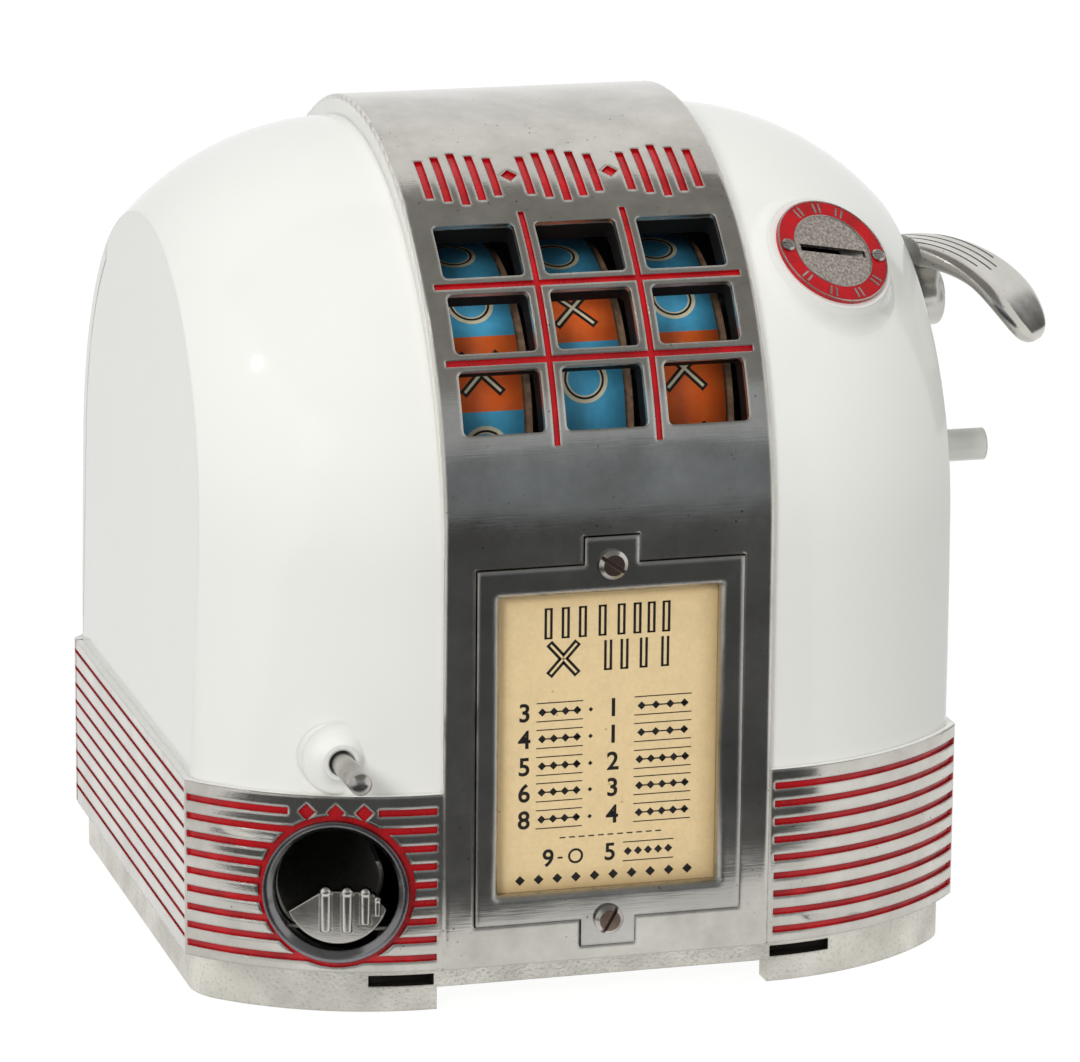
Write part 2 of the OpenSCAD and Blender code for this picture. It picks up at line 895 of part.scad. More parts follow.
module plinth() {
    color(cast_metal)
        difference() {
            union() {
                linear_extrude(plinth_h)
                    footprint(plinth_r, skirt_shoulder - plinth_inset, skirt_x - plinth_inset,
                        plinth_corner_r);
                for (s = [-1, 1])
                    translate([s * (hinge_x - knuckle_l / 2 - fit_gap / 2) - knuckle_l / 2, 0, 0]) {
                        translate([0, hinge_y, hinge_z])
                            along_x(hinge_r, 0, knuckle_l);
                        translate([0, hinge_y - hinge_r, foot_gap_h])
                            cube([knuckle_l, 2 * hinge_r, hinge_z - foot_gap_h]);
                        translate([0, plinth_r - 2, foot_gap_h])
                            cube([knuckle_l, hinge_y - plinth_r + 2, plinth_h - foot_gap_h]);
                    }
            }
            translate([0, 0, -1])
                linear_extrude(plinth_h - floor_t + 1)
                    difference() {
                        footprint(plinth_r - plinth_rim, skirt_shoulder - plinth_inset - plinth_rim,
                            skirt_x - plinth_inset - plinth_rim, plinth_corner_r);
                        circle(mid_foot_d / 2);
                    }
            for (s = [-1, 1])
                translate([-foot_gap_w / 2, s > 0 ? foot_gap_y : -far, -1])
                    cube([foot_gap_w, far - foot_gap_y, foot_gap_h + 1]);
            for (s = [-1, 1])
                translate([s * (half_band + 1.5 + edge_slot_l / 2), -plinth_r, edge_slot_z])
                    cube([edge_slot_l, 2 * edge_slot_depth, edge_slot_h], center = true);
            for (sx = [-1, 1], sy = [-1, 1])
                translate([sx * boss_x, sy * boss_y, 0])
                    cylinder(r = screw_r + fit_gap, h = plinth_h + 1);
            for (sx = [-1, 1], y = foot_screw_y)
                translate([sx * foot_screw_x, y, 0])
                    cylinder(r = foot_screw_r + snug_gap, h = plinth_h + 1);
            for (s = [-1, 1])
                translate([s * hinge_x, hinge_y, hinge_z])
                    along_x(hinge_pin_r + snug_gap, -2 * knuckle_l, 2 * knuckle_l);
        }
}

// Round headed screw with its slot, head up
module slotted_screw(r, head_r, head_t, length, slot) {
    difference() {
        union() {
            translate([0, 0, -length])
                cylinder(r = r, h = length);
            cylinder(r = head_r, h = head_t * 0.55);
            translate([0, 0, head_t * 0.55])
                cylinder(r1 = head_r, r2 = head_r * 0.72, h = head_t * 0.45);
        }
        translate([0, 0, head_t])
            cube([2 * head_r + 1, slot, head_t], center = true);
    }
}

module plinth_screws() {
    color(steel)
        for (sx = [-1, 1], sy = [-1, 1])
            translate([sx * boss_x, sy * boss_y, plinth_h - floor_t])
                rotate([180, 0, 0])
                    slotted_screw(screw_r, screw_head_r, screw_head_t, screw_depth, 0.9);
}

module card_frame() {
    bevel_side = frame_bevel * sqrt(2);
    color(cast_metal)
        difference() {
            on_front(frame_face_y, frame_t + frame_proud - snug_gap)
                frame_outline(0);
            on_front(frame_face_y - 1, frame_t + frame_proud + 2)
                square([card_w, card_h], center = true);
            translate([0, frame_face_y, frame_z])
                rotate([90, 0, 0])
                    for (s = [-1, 1]) {
                        translate([s * card_w / 2, 0, 0])
                            rotate([0, 45, 0])
                                cube([bevel_side, card_h + 1, bevel_side], center = true);
                        translate([0, s * card_h / 2, 0])
                            rotate([45, 0, 0])
                                cube([card_w + 1, bevel_side, bevel_side], center = true);
                    }
            for (z = screw8_z)
                translate([0, 0, z])
                    along_y(screw8_r + fit_gap, frame_face_y - 1, frame_seat_y + 1);
        }
}

module award_card() {
    color(paper)
        on_front(frame_seat_y + card_pocket - card_t - snug_gap, card_t)
            square([card_w + 2 * card_margin - 1, card_h + 2 * card_margin - 1], center = true);
}

module card_cover() {
    color(clear_sheet)
        on_front(frame_seat_y + snug_gap, cover_t)
            square([card_w + 2 * card_margin - 0.8, card_h + 2 * card_margin - 0.8], center = true);
}

module card_frame_screws() {
    color(steel)
        for (i = [0, 1])
            translate([0, frame_face_y, screw8_z[i]])
                rotate([90, 0, 0])
                    rotate([0, 0, i == 0 ? 60 : -35])
                        slotted_screw(screw8_r, screw8_head_r, screw8_head_t, screw8_l, 1);
}

module window_pane() {
    pane_r = cavity_r - fit_gap;
    pane_reach = row_step + pane_lap;
    color(clear_sheet)
        translate([0, 0, axis_z - crown_drop])
            rotate([90, 0, -90])
                rotate([0, 0, row_mid - pane_reach])
                    rotate_extrude(angle = 2 * pane_reach)
                        translate([pane_r - pane_t, pane_edge - half_band])
                            square([pane_t, band_w - 2 * pane_edge]);
}

module coin_entry_ring() {
    color(enamel_red)
        coin_place()
            difference() {
                cylinder(r = ring_d / 2, h = ring_t);
                translate([0, 0, -1])
                    cylinder(r = disc_d / 2 + snug_gap, h = ring_t + 2);
                for (s = [-1, 1])
                    translate([s * coin_screw_at, 0, -1])
                        cylinder(r = coin_screw_r + snug_gap, h = ring_t + 2);
            }
}

module coin_entry_disc() {
    color(steel)
        coin_place()
            difference() {
                cylinder(r = disc_d / 2, h = ring_t);
                cube([slot_l, slot_w, 3 * ring_t], center = true);
            }
}

module coin_entry_screws() {
    color(steel)
        coin_place()
            for (s = [-1, 1])
                translate([s * coin_screw_at, 0, ring_t])
                    slotted_screw(coin_screw_r, coin_screw_head_r, 1, coin_screw_l + ring_t - 0.5, 0.5);
}

// Square coin chute from under the slot to the cash box, held by an arm on the right side plate
module coin_chute() {
    out_x = chute_in[0] + 2 * chute_wall;
    out_y = chute_in[1] + 2 * chute_wall;
    low = cash_top + chute_drop;
    color(steel)
        difference() {
            union() {
                translate([coin_chute_x - out_x / 2, coin_chute_y - out_y / 2, low])
                    cube([out_x, out_y, coin_chute_top - low]);
                translate([plate_x + plate_t, coin_chute_y - out_y / 2, axis_z])
                    cube([coin_chute_x - plate_x - plate_t, chute_wall, 16]);
                translate([plate_x + plate_t, coin_chute_y - out_y / 2, axis_z])
                    cube([chute_wall, out_y, 16]);
            }
            translate([coin_chute_x - chute_in[0] / 2, coin_chute_y - chute_in[1] / 2, low - 1])
                cube([chute_in[0], chute_in[1], far]);
        }
}

module cash_box() {
    color(steel)
        difference() {
            translate([cash_x[0], cash_y[0], plinth_h])
                cube([cash_x[1] - cash_x[0], cash_y[1] - cash_y[0], cash_top - plinth_h]);
            translate([cash_x[0] + cash_wall, cash_y[0] + cash_wall, plinth_h + cash_wall])
                cube([cash_x[1] - cash_x[0] - 2 * cash_wall, cash_y[1] - cash_y[0] - 2 * cash_wall, far]);
        }
}

// Side view of the paddle: outer arc, thinner towards the tip
module paddle_side() {
    mid = [paddle_r * sin(paddle_slope), -paddle_r * cos(paddle_slope)];
    tip = [sin(paddle_tip_turn), cos(paddle_tip_turn)];
    difference() {
        intersection() {
            translate(mid)
                circle(paddle_r);
            polygon([mid, mid + 3 * paddle_r * tip, mid + 3 * paddle_r * [0, 1], [-paddle_back, 2 * paddle_r],
                [-paddle_back, mid[1]]]);
        }
        translate(mid + paddle_under)
            circle(paddle_under_r);
    }
    translate(mid + (paddle_r - paddle_tip_r - paddle_ease) * tip)
        circle(paddle_tip_r);
}

// Top view of the paddle: flaring to a round end
module paddle_plan() {
    end_at = paddle_end - paddle_hw;
    lean = atan(paddle_flare);
    meet = [end_at - paddle_hw * sin(lean), (paddle_hw - paddle_ease) * cos(lean)];
    back_hw = meet[1] - paddle_flare * (meet[0] + paddle_back);
    translate([end_at, 0])
        circle(paddle_hw);
    polygon([[-paddle_back, -back_hw], [meet[0], -meet[1]], [end_at, 0], meet, [-paddle_back, back_hw]]);
}

module lever() {
    color(cast_metal)
        difference() {
            intersection() {
                union() {
                    translate(lever_root)
                        rotate([0, 0, -paddle_sweep])
                            difference() {
                                intersection() {
                                    translate([0, far / 2, 0])
                                        rotate([90, 0, 0])
                                            linear_extrude(far)
                                                paddle_side();
                                    translate([0, 0, -far / 2])
                                        linear_extrude(far)
                                            paddle_plan();
                                }
                                lever_groove_rings();
                            }
                    translate([0, -lever_y, lever_z])
                        along_x(lever_hub_r, lever_in_x, lever_in_x + lever_hub_l);
                    translate([lever_in_x, -lever_y - lever_hub_r, lever_z])
                        cube([lever_hub_l - 2, 2 * lever_hub_r - 3, lever_root[2] - 6 - lever_z]);
                }
                translate([lever_in_x, -far, 0])
                    cube([far, 2 * far, 2 * far]);
            }
            translate([0, -lever_y, lever_z])
                along_x(shaft_r + snug_gap, lever_in_x - 1, lever_in_x + lever_hub_l - 3);
            translate([lever_in_x + lever_hub_l / 2, -lever_y, lever_z - lever_hub_r - 1])
                cylinder(r = lever_pin_r + snug_gap, h = lever_hub_r + shaft_r + 2);
        }
}

// Fine grooves along the paddle's top
module lever_groove_rings() {
    mid = [paddle_r * sin(paddle_slope), 0, -paddle_r * cos(paddle_slope)];
    translate(mid)
        rotate([90, 0, 0])
            for (i = [0 : lever_grooves - 1])
                rotate([0, 0, 90 - lever_groove_end])
                    rotate_extrude(angle = lever_groove_end + paddle_slope + 20)
                        translate([paddle_r - lever_groove_depth,
                            (i - (lever_grooves - 1) / 2) * lever_groove_pitch - lever_groove_w / 2])
                            square([lever_groove_depth + 1, lever_groove_w]);
}

module lever_shaft() {
    color(steel)
        difference() {
            translate([0, -lever_y, lever_z])
                along_x(shaft_r, plate_x + run_gap, lever_in_x + lever_hub_l - 3.3);
            translate([lever_in_x + lever_hub_l / 2, -lever_y, lever_z - lever_hub_r - 1])
                cylinder(r = lever_pin_r + snug_gap, h = lever_hub_r + shaft_r + 2);
        }
}

module lever_pin() {
    color(steel)
        translate([lever_in_x + lever_hub_l / 2, -lever_y, lever_z - lever_hub_r + 0.5])
            cylinder(r = lever_pin_r, h = lever_hub_r + shaft_r - 1);
}

// Flanged bush in the right cheek
module shaft_bush() {
    inner = cheek_at(lever_z) - wall;
    color(brass)
        difference() {
            translate([0, -lever_y, lever_z]) {
                along_x(bush_r, inner - bush_l + wall, inner + wall - 1);
                along_x(bush_flange_r, inner - bush_l + wall,
                    inner - snug_gap - bush_flange_r * sin(cheek_lean));
            }
            translate([0, -lever_y, lever_z])
                along_x(shaft_r + run_gap, plate_x, cheek_x + 10);
        }
}

module drive_crank() {
    color(steel)
        translate([0, -lever_y, lever_z])
            difference() {
                union() {
                    along_x(crank_hub_r, crank_x, crank_x + crank_t);
                    translate([crank_x, 0, -crank_arm_w / 2])
                        cube([crank_t, crank_arm, crank_arm_w]);
                    translate([0, crank_arm, 0])
                        along_x(crank_arm_w / 2, crank_x, crank_x + crank_t);
                    translate([0, crank_arm, 0])
                        along_x(crank_pin_r, crank_x, crank_x + crank_t + crank_pin_l);
                }
                along_x(shaft_r + snug_gap, crank_x - 1, crank_x + crank_t + 1);
            }
}

// Point on a coil that climbs along +Z, after t turns
function coil_point(r, pitch, t) = [r * cos(360 * t), r * sin(360 * t), pitch * t];

// One unbroken round wire wound into a coil
module coil(r, wire, pitch, turns) {
    rings = turns * spring_rings;
    places = [for (i = [0 : rings]) coil_point(r, pitch, i / spring_rings)];
    points = [
        for (i = [0 : rings], k = [0 : spring_sides - 1])
            let (turn = 360 * i / spring_rings, side = 360 * k / spring_sides)
            [
                (r + wire * cos(side)) * cos(turn),
                (r + wire * cos(side)) * sin(turn),
                places[i][2] + wire * sin(side)
            ]
    ];
    walls = [
        for (i = [0 : rings - 1], k = [0 : spring_sides - 1])
            let (a = i * spring_sides + k, b = i * spring_sides + (k + 1) % spring_sides)
            each [[a, b, b + spring_sides], [a, b + spring_sides, a + spring_sides]]
    ];
    first = [for (k = [1 : spring_sides - 2]) [0, k + 1, k]];
    last_at = rings * spring_sides;
    last = [for (k = [1 : spring_sides - 2]) [last_at, last_at + k, last_at + k + 1]];
    gap = min([for (i = [0 : rings - spring_rings]) norm(places[i + spring_rings] - places[i])]) - 2 * wire;
    echo(str("least gap between turns, mm: ", gap));
    polyhedron(points = points, faces = concat(walls, first, last));
}

// Return spring between the crank's pin and the post on the side plate
module lever_spring() {
    low = spring_post_z + spring_post_r + fit_gap + spring_wire;
    high = lever_z - crank_pin_r - fit_gap - spring_wire;
    color(steel)
        translate([crank_x + crank_t + crank_pin_l / 2, crank_arm - lever_y, low])
            coil(spring_r, spring_wire, (high - low) / spring_turns, spring_turns);
}

module gum_plunger() {
    color(steel)
        plunger_place()
            rotate([90, 0, 0])
                rotate_extrude() {
                    intersection() {
                        translate([0, plunger_out - plunger_dome_r])
                            circle(plunger_dome_r);
                        translate([0, plunger_out - plunger_dome_r])
                            square([plunger_r, plunger_dome_r]);
                    }
                    translate([0, -slide_y + snug_gap])
                        square([plunger_r, slide_y + plunger_out - plunger_dome_r]);
                    translate([0, -plunger_boss_in - fit_gap - plunger_collar_t])
                        square([plunger_collar_r, plunger_collar_t]);
                }
}

module plunger_spring() {
    low = plunger_boss_in + 2 * fit_gap + plunger_collar_t + plunger_spring_wire;
    high = slide_y - housing_t - 2 * fit_gap - plunger_spring_wire;
    color(steel)
        plunger_place()
            translate([0, low, 0])
                rotate([-90, 0, 0])
                    coil(plunger_spring_r, plunger_spring_wire, (high - low) / plunger_spring_turns,
                        plunger_spring_turns);
}

// Sliding block that carries one ball back to the chute
module gum_slide() {
    color(brass)
        plunger_place()
            difference() {
                translate([-slide_w / 2, slide_y, -slide_h / 2])
                    cube([slide_w, slide_l, slide_h]);
                translate([0, slide_y + slide_l / 2, -slide_h])
                    cylinder(r = ball_r, h = 2 * slide_h);
            }
}

// Channel for the slide, with the ball tube above and an arm to the left side plate
module gum_housing() {
    low = -slide_h / 2 - fit_gap - housing_t;
    high = slide_h / 2 + fit_gap + housing_t;
    out_w = slide_w + 2 * fit_gap + 2 * housing_t;
    arm_l = plunger_x - out_w / 2 + housing_t - plate_x - plate_t;
    color(cast_metal)
        difference() {
            union() {
                plunger_place() {
                    translate([-out_w / 2, slide_y - fit_gap - housing_t, low])
                        cube([out_w, housing_l + 2 * housing_t, high - low]);
                    translate([0, slide_y + slide_l / 2, 0])
                        cylinder(r = ball_r + fit_gap + housing_t, h = high + tube_h);
                }
                translate([-arm_l - plate_x - plate_t, -plunger_u + slide_y + 2, plunger_z + 4])
                    cube([arm_l, housing_l - 6, 8]);
            }
            plunger_place() {
                translate([-slide_w / 2 - fit_gap, slide_y - fit_gap, -slide_h / 2 - fit_gap])
                    cube([slide_w + 2 * fit_gap, housing_l, slide_h + 2 * fit_gap]);
                translate([0, slide_y + slide_l / 2, 0])
                    cylinder(r = ball_r + fit_gap, h = high + tube_h + 1);
                translate([0, slide_y + slide_l / 2 + plunger_travel, low - 1])
                    cylinder(r = ball_r + fit_gap, h = slide_h / 2);
                along_y(plunger_r + run_gap, 0, slide_y + 1);
            }
        }
}

module chute_place() {
    gum_place()
        rotate([0, 0, gum_turn - chute_yaw])
            translate([0, chute_set, 0])
                rotate([chute_rise, 0, 0])
                    children();
}

// Sloping chute from the housing down to the port, open at the top where the ball drops in
module gum_chute() {
    color(cast_metal)
        difference() {
            union() {
                difference() {
                    chute_place()
                        difference() {
                            along_y(chute_r + chute_t, 0, chute_l);
                            along_y(chute_r, -1, chute_l - chute_t);
                            translate([-far / 2, chute_roof, -1])
                                cube([far, far, far]);
                            translate([-far / 2, -far / 2, chute_lip])
                                cube([far, far, far]);
                        }
                    gum_place() {
                        translate([-far, -far + flap_set + flap_t / 2 + 2 * fit_gap, -far])
                            cube([2 * far, far, 2 * far]);
                        difference() {
                            along_y(2 * port_d, 0, chute_clear);
                            along_y(port_d / 2 - fit_gap, -1, chute_clear + 1);
                        }
                    }
                }
                translate([-plate_x - plate_t - chute_arm[0], -gum_u + chute_roof + chute_set, gum_z + 6])
                    cube(chute_arm);
            }
            chute_place()
                along_y(chute_r, -1, chute_l - chute_t);
        }
}

// Ribbed half round flap in the port
module gum_flap() {
    color(cast_metal)
        gum_place()
            difference() {
                union() {
                    translate([0, flap_set + flap_t / 2, 0])
                        rotate([90, 0, 0])
                            linear_extrude(flap_t)
                                flap_outline();
                    for (i = [0 : len(flap_rib_x) - 1])
                        flap_rib(flap_rib_x[i], flap_rib_r[i]);
                }
                translate([0, flap_set, -flap_drop])
                    along_x(flap_pin_r + run_gap, -flap_pin_half, flap_pin_half);
            }
}

// Flap seen from the front: round below, with sloping shoulders
module flap_outline() {
    left_end = flap_shoulder[1];
    right_end = flap_shoulder[3];
    intersection() {
        translate([0, flap_mid])
            circle(flap_r);
        polygon([[left_end[0], -2 * flap_r], left_end, flap_shoulder[0], [flap_shoulder[0][0] + 1, flap_top],
            [flap_shoulder[2][0] - 1, flap_top], flap_shoulder[2], right_end, [right_end[0], -2 * flap_r]]);
    }
}

// Upright rib with a round knob on top
module flap_rib(x, r) {
    low = flap_mid - sqrt(pow(flap_r - r, 2) - x * x) + r;
    top = x > flap_shoulder[2][0] ? flap_shoulder[2][1] - 1 : flap_top;
    translate([x, flap_set - flap_t / 2, low])
        cylinder(r = r, h = top - low);
    translate([x, flap_set - flap_t / 2, top])
        sphere(r = r * flap_knob);
}

module gum_flap_pin() {
    color(steel)
        gum_place()
            translate([0, flap_set, -flap_drop])
                along_x(flap_pin_r, -flap_pin_half, flap_pin_half);
}

// Reel pieces, placed by column
module reel_place(i) {
    translate([reel_sides[i], reel_y, reel_z])
        children();
}

module reel_drum(i) {
    rim_r = reel_r - strip_t - run_gap;
    color(cast_metal)
        reel_place(i)
            difference() {
                along_x(rim_r, -reel_w / 2, reel_w / 2);
                difference() {
                    along_x(rim_r - rim_t, -reel_w / 2 - 1, reel_w / 2 - web_t);
                    along_x(hub_r, -reel_w / 2, reel_w / 2);
                }
                along_x(reel_shaft_d / 2 + run_gap, -reel_w, reel_w);
            }
}

module reel_strip(i) {
    color(print_blue)
        reel_place(i)
            difference() {
                along_x(reel_r, -reel_w / 2, reel_w / 2);
                along_x(reel_r - strip_t, -reel_w, reel_w);
            }
}

// Star wheel with one notch for each symbol
module star_wheel(i) {
    color(steel)
        reel_place(i)
            translate([reel_w / 2, 0, 0])
                rotate([0, 90, 0])
                    linear_extrude(star_t)
                        difference() {
                            polygon([for (k = [0 : 2 * symbols - 1])
                                (k % 2 == 0 ? star_r : star_r - star_root)
                                    * [cos(180 * k / symbols), sin(180 * k / symbols)]]);
                            circle(reel_shaft_d / 2 + run_gap);
                        }
}

module reel_drum_left() { reel_drum(0); }
module reel_drum_centre() { reel_drum(1); }
module reel_drum_right() { reel_drum(2); }
module reel_strip_left() { reel_strip(0); }
module reel_strip_centre() { reel_strip(1); }
module reel_strip_right() { reel_strip(2); }
module star_wheel_left() { star_wheel(0); }
module star_wheel_centre() { star_wheel(1); }
module star_wheel_right() { star_wheel(2); }

module reel_shaft() {
    color(steel)
        translate([0, reel_y, reel_z])
            along_x(reel_shaft_d / 2, -plate_x - plate_t - nut_t - 1, plate_x + plate_t + nut_t + 1);
}

// Collars that keep the reels apart on their shaft
module reel_spacers() {
    left_of = [-plate_x, reel_sides[0] + reel_w / 2 + star_t, reel_sides[1] + reel_w / 2 + star_t,
        reel_sides[2] + reel_w / 2 + star_t];
    right_of = [reel_sides[0] - reel_w / 2, reel_sides[1] - reel_w / 2, reel_sides[2] - reel_w / 2, plate_x];
    color(brass)
        translate([0, reel_y, reel_z])
            for (i = [0 : 3])
                difference() {
                    along_x(spacer_r, left_of[i] + side_play, right_of[i] - side_play);
                    along_x(reel_shaft_d / 2 + run_gap, -far, far);
                }
}

// Hexagon nut with its bore, from x0 to x1
module hex_nut(r, bore, x0, x1) {
    difference() {
        translate([x0, 0, 0])
            rotate([0, 90, 0])
                cylinder(r = r, h = x1 - x0, $fn = 6);
        along_x(bore, x0 - 1, x1 + 1);
    }
}

module shaft_nuts() {
    outer = plate_x + plate_t;
    color(steel)
        translate([0, reel_y, reel_z])
            for (s = [-1, 1])
                hex_nut(nut_r + 2, reel_shaft_d / 2 + run_gap, s > 0 ? outer : -outer - nut_t,
                    s > 0 ? outer + nut_t : -outer);
}

// Sheet side plate of the mechanism, with a foot on the plinth's floor
module side_plate(s) {
    outer = plate_x + plate_t;
    difference() {
        union() {
            translate([s > 0 ? plate_x : -outer, 0, 0])
                rotate([90, 0, 90])
                    linear_extrude(plate_t)
                        polygon([[plate_y[0], plinth_h], [plate_y[1], plinth_h], [plate_y[1], axis_z / 2],
                            [plate_top_y[1], plate_top_z], [plate_top_y[0], plate_top_z],
                            [plate_y[0], axis_z]]);
            translate([s > 0 ? plate_x : -outer - plate_foot, plate_y[0], plinth_h])
                cube([plate_foot + plate_t, plate_y[1] - plate_y[0], plate_t]);
        }
        translate([0, reel_y, reel_z])
            along_x(reel_shaft_d / 2 + run_gap, -far, far);
        for (p = tie_places)
            translate([0, p[0], p[1]])
                along_x(tie_r + run_gap, -far, far);
        for (a = [stop_bail_angle, kicker_bail_angle])
            bail_place(a)
                along_x(bail_shaft_r + run_gap, -far, far);
        for (y = foot_screw_y)
            translate([s * foot_screw_x, y, 0])
                cylinder(r = foot_screw_r + snug_gap, h = far);
        children();
    }
}

module side_plate_left() {
    color(steel)
        side_plate(-1);
}

module side_plate_right() {
    outer = plate_x + plate_t;
    color(steel) {
        side_plate(1)
            translate([0, -lever_y, lever_z])
                along_x(shaft_r + run_gap, 0, far);
        translate([0, crank_arm - lever_y, spring_post_z])
            along_x(spring_post_r, outer - 1, crank_x + crank_t + crank_pin_l);
    }
}

module frame_screws() {
    color(steel)
        for (sx = [-1, 1], y = foot_screw_y)
            translate([sx * foot_screw_x, y, plinth_h + plate_t])
                slotted_screw(foot_screw_r, foot_screw_head_r, foot_screw_head_t, plate_t + floor_t, 0.8);
}

module tie_rods() {
    reach = plate_x + plate_t + nut_t + 1;
    color(steel)
        for (p = tie_places)
            translate([0, p[0], p[1]])
                along_x(tie_r, -reach, reach);
}

module tie_rod_nuts() {
    outer = plate_x + plate_t;
    color(steel)
        for (p = tie_places, s = [-1, 1])
            translate([0, p[0], p[1]])
                hex_nut(nut_r, tie_r + run_gap, s > 0 ? outer : -outer - nut_t,
                    s > 0 ? outer + nut_t : -outer);
}

// Rocking shaft near the reels, at an angle round the reel shaft
module bail_place(angle) {
    translate([0, reel_y + bail_at * cos(angle), reel_z + bail_at * sin(angle)])
        children();
}

// Three fingers on one shaft, each reaching in beside its star wheel
module bail(angle) {
    reach = bail_at - star_r - bail_clear;
    color(steel)
        bail_place(angle)
            for (x = reel_sides)
                translate([x + reel_w / 2 + (star_t - bail_t) / 2, 0, 0])
                    rotate([angle, 0, 0])
                        rotate([90, 0, 90])
                            linear_extrude(bail_t)
                                difference() {
                                    union() {
                                        circle(bail_hub_r);
                                        translate([-reach, -bail_arm_w / 2])
                                            square([reach, bail_arm_w]);
                                    }
                                    circle(bail_shaft_r + snug_gap);
                                }
}

module bail_shaft(angle) {
    color(steel)
        bail_place(angle)
            along_x(bail_shaft_r, -plate_x - plate_t - 2, plate_x + plate_t + 2);
}

module kicker_bail() { bail(kicker_bail_angle); }
module kicker_shaft() { bail_shaft(kicker_bail_angle); }
module stop_bail() { bail(stop_bail_angle); }
module stop_shaft() { bail_shaft(stop_bail_angle); }

front_casting();
rear_door();
door_hinge_pins();
lock_body();
lock_plug();
lock_cam();
lock_keeper();
plinth();
plinth_screws();
card_frame();
award_card();
card_cover();
card_frame_screws();
window_pane();
coin_entry_ring();
coin_entry_disc();
coin_entry_screws();
coin_chute();
cash_box();
lever();
lever_shaft();
lever_pin();
shaft_bush();
drive_crank();
lever_spring();
gum_plunger();
plunger_spring();
gum_slide();
gum_housing();
gum_chute();
gum_flap();
gum_flap_pin();
reel_drum_left();
reel_drum_centre();
reel_drum_right();
reel_strip_left();
reel_strip_centre();
reel_strip_right();
star_wheel_left();
star_wheel_centre();
star_wheel_right();
reel_shaft();
reel_spacers();
shaft_nuts();
side_plate_left();
side_plate_right();
frame_screws();
tie_rods();
tie_rod_nuts();
kicker_bail();
kicker_shaft();
stop_bail();
stop_shaft();
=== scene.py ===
import math

import bmesh
import bpy
import numpy as np
from mathutils import Matrix, Vector


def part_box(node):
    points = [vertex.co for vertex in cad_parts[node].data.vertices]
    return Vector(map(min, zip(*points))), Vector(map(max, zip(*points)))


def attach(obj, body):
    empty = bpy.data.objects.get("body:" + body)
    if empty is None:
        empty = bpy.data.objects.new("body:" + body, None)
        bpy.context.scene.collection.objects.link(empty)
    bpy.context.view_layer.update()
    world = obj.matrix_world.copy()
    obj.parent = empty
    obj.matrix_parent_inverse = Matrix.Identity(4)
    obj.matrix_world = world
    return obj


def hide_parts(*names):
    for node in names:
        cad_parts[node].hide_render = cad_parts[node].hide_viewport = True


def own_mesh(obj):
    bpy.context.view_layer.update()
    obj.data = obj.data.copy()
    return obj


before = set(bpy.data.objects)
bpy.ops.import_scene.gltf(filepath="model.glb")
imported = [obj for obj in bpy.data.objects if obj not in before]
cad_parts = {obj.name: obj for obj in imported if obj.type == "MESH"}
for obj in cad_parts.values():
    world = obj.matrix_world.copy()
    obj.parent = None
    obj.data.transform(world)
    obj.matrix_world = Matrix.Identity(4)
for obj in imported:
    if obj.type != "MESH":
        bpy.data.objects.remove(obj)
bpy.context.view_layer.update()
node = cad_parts

QUARTER = math.radians(90.0)

# Sizes of the cabinet in millimetres, as in the solids
HALF_BAND, BAND_R, BODY_R, SHOULDER_R = 44.3, 101.0, 98.4, 78.0
AXIS_Z, CROWN_DROP, WALL, LEDGE_Z = 121.5, 2.8, 3.5, 59.0
SEAM_Y, ARCH_R, SEAM = 46.0, 68.5, 0.35
SKIRT_R, SKIRT_SHOULDER, SKIRT_X = 100.0, 79.6, 105.8
CHEEK_X, CHEEK_LEAN = 103.8, 1.5
GUM_X, GUM_Z, RIM_R = 71.5, 33.3, 19.0
FRONT_X, CORNER_X = SKIRT_X - 0.85, SKIRT_X - 3.0
SURFACE, GROOVE = 0.1, 0.95          # a face between these depths under a polished one is a painted groove
CORNER_SURFACE = 0.3                 # the first of them at the skirt's corners
NEAR, INSET = 0.1, 0.02              # allowances outside and inside a limit
BAND_GROOVE_X = 42.0                 # the band's grooves lie within this of the middle
CARD_FACE_Y, CARD_Z = -96.8, 70.3
REEL_Y, REEL_Z, REEL_R, REEL_W = -29.669, 141.891, 48.0, 21.0
SLOT_START_X, SLOT_END_X, SLOT_LOW_Z, SLOT_HIGH_Z = HALF_BAND + 1.0, 63.2, 6.6, 10.0
SLOT_FLOOR_Y, SLOT_BACK_Y = -95.5, -80.0
SCREW_HEAD_R, SCREW_FACE_R = 3.9, 2.9
REEL_X = {"left": -27.3, "centre": 0.0, "right": 27.3}


def metres(*lengths):
    """Lengths in millimetres as the same lengths in metres."""
    return tuple(length / 1000.0 for length in lengths)


# camera

def place_camera():
    """A long lens at the photograph's angle: 16 degrees to the left, 14.4 above, with a slight roll."""
    azimuth, elevation, roll = math.radians(-16.0), math.radians(14.44), math.radians(0.52)
    distance, shift_right, shift_up = 1.6184, 0.00414, -0.00259
    back = Vector((math.sin(azimuth) * math.cos(elevation), -math.cos(azimuth) * math.cos(elevation),
                   math.sin(elevation)))
    level = Vector((math.cos(azimuth), math.sin(azimuth), 0.0))
    rise = back.cross(level)
    right = level * math.cos(roll) + rise * math.sin(roll)
    up = rise * math.cos(roll) - level * math.sin(roll)
    aim = Vector((0.0, -0.01886, 0.10857))
    place = aim + distance * back + shift_right * right + shift_up * up
    bpy.ops.object.camera_add()
    camera = bpy.context.object
    camera.matrix_world = Matrix.Translation(place) @ Matrix((right, up, back)).transposed().to_4x4()
    camera.data.sensor_width = 36.0
    camera.data.lens = 199.98
    camera.data.clip_end = 50.0
    bpy.context.scene.camera = camera


# materials

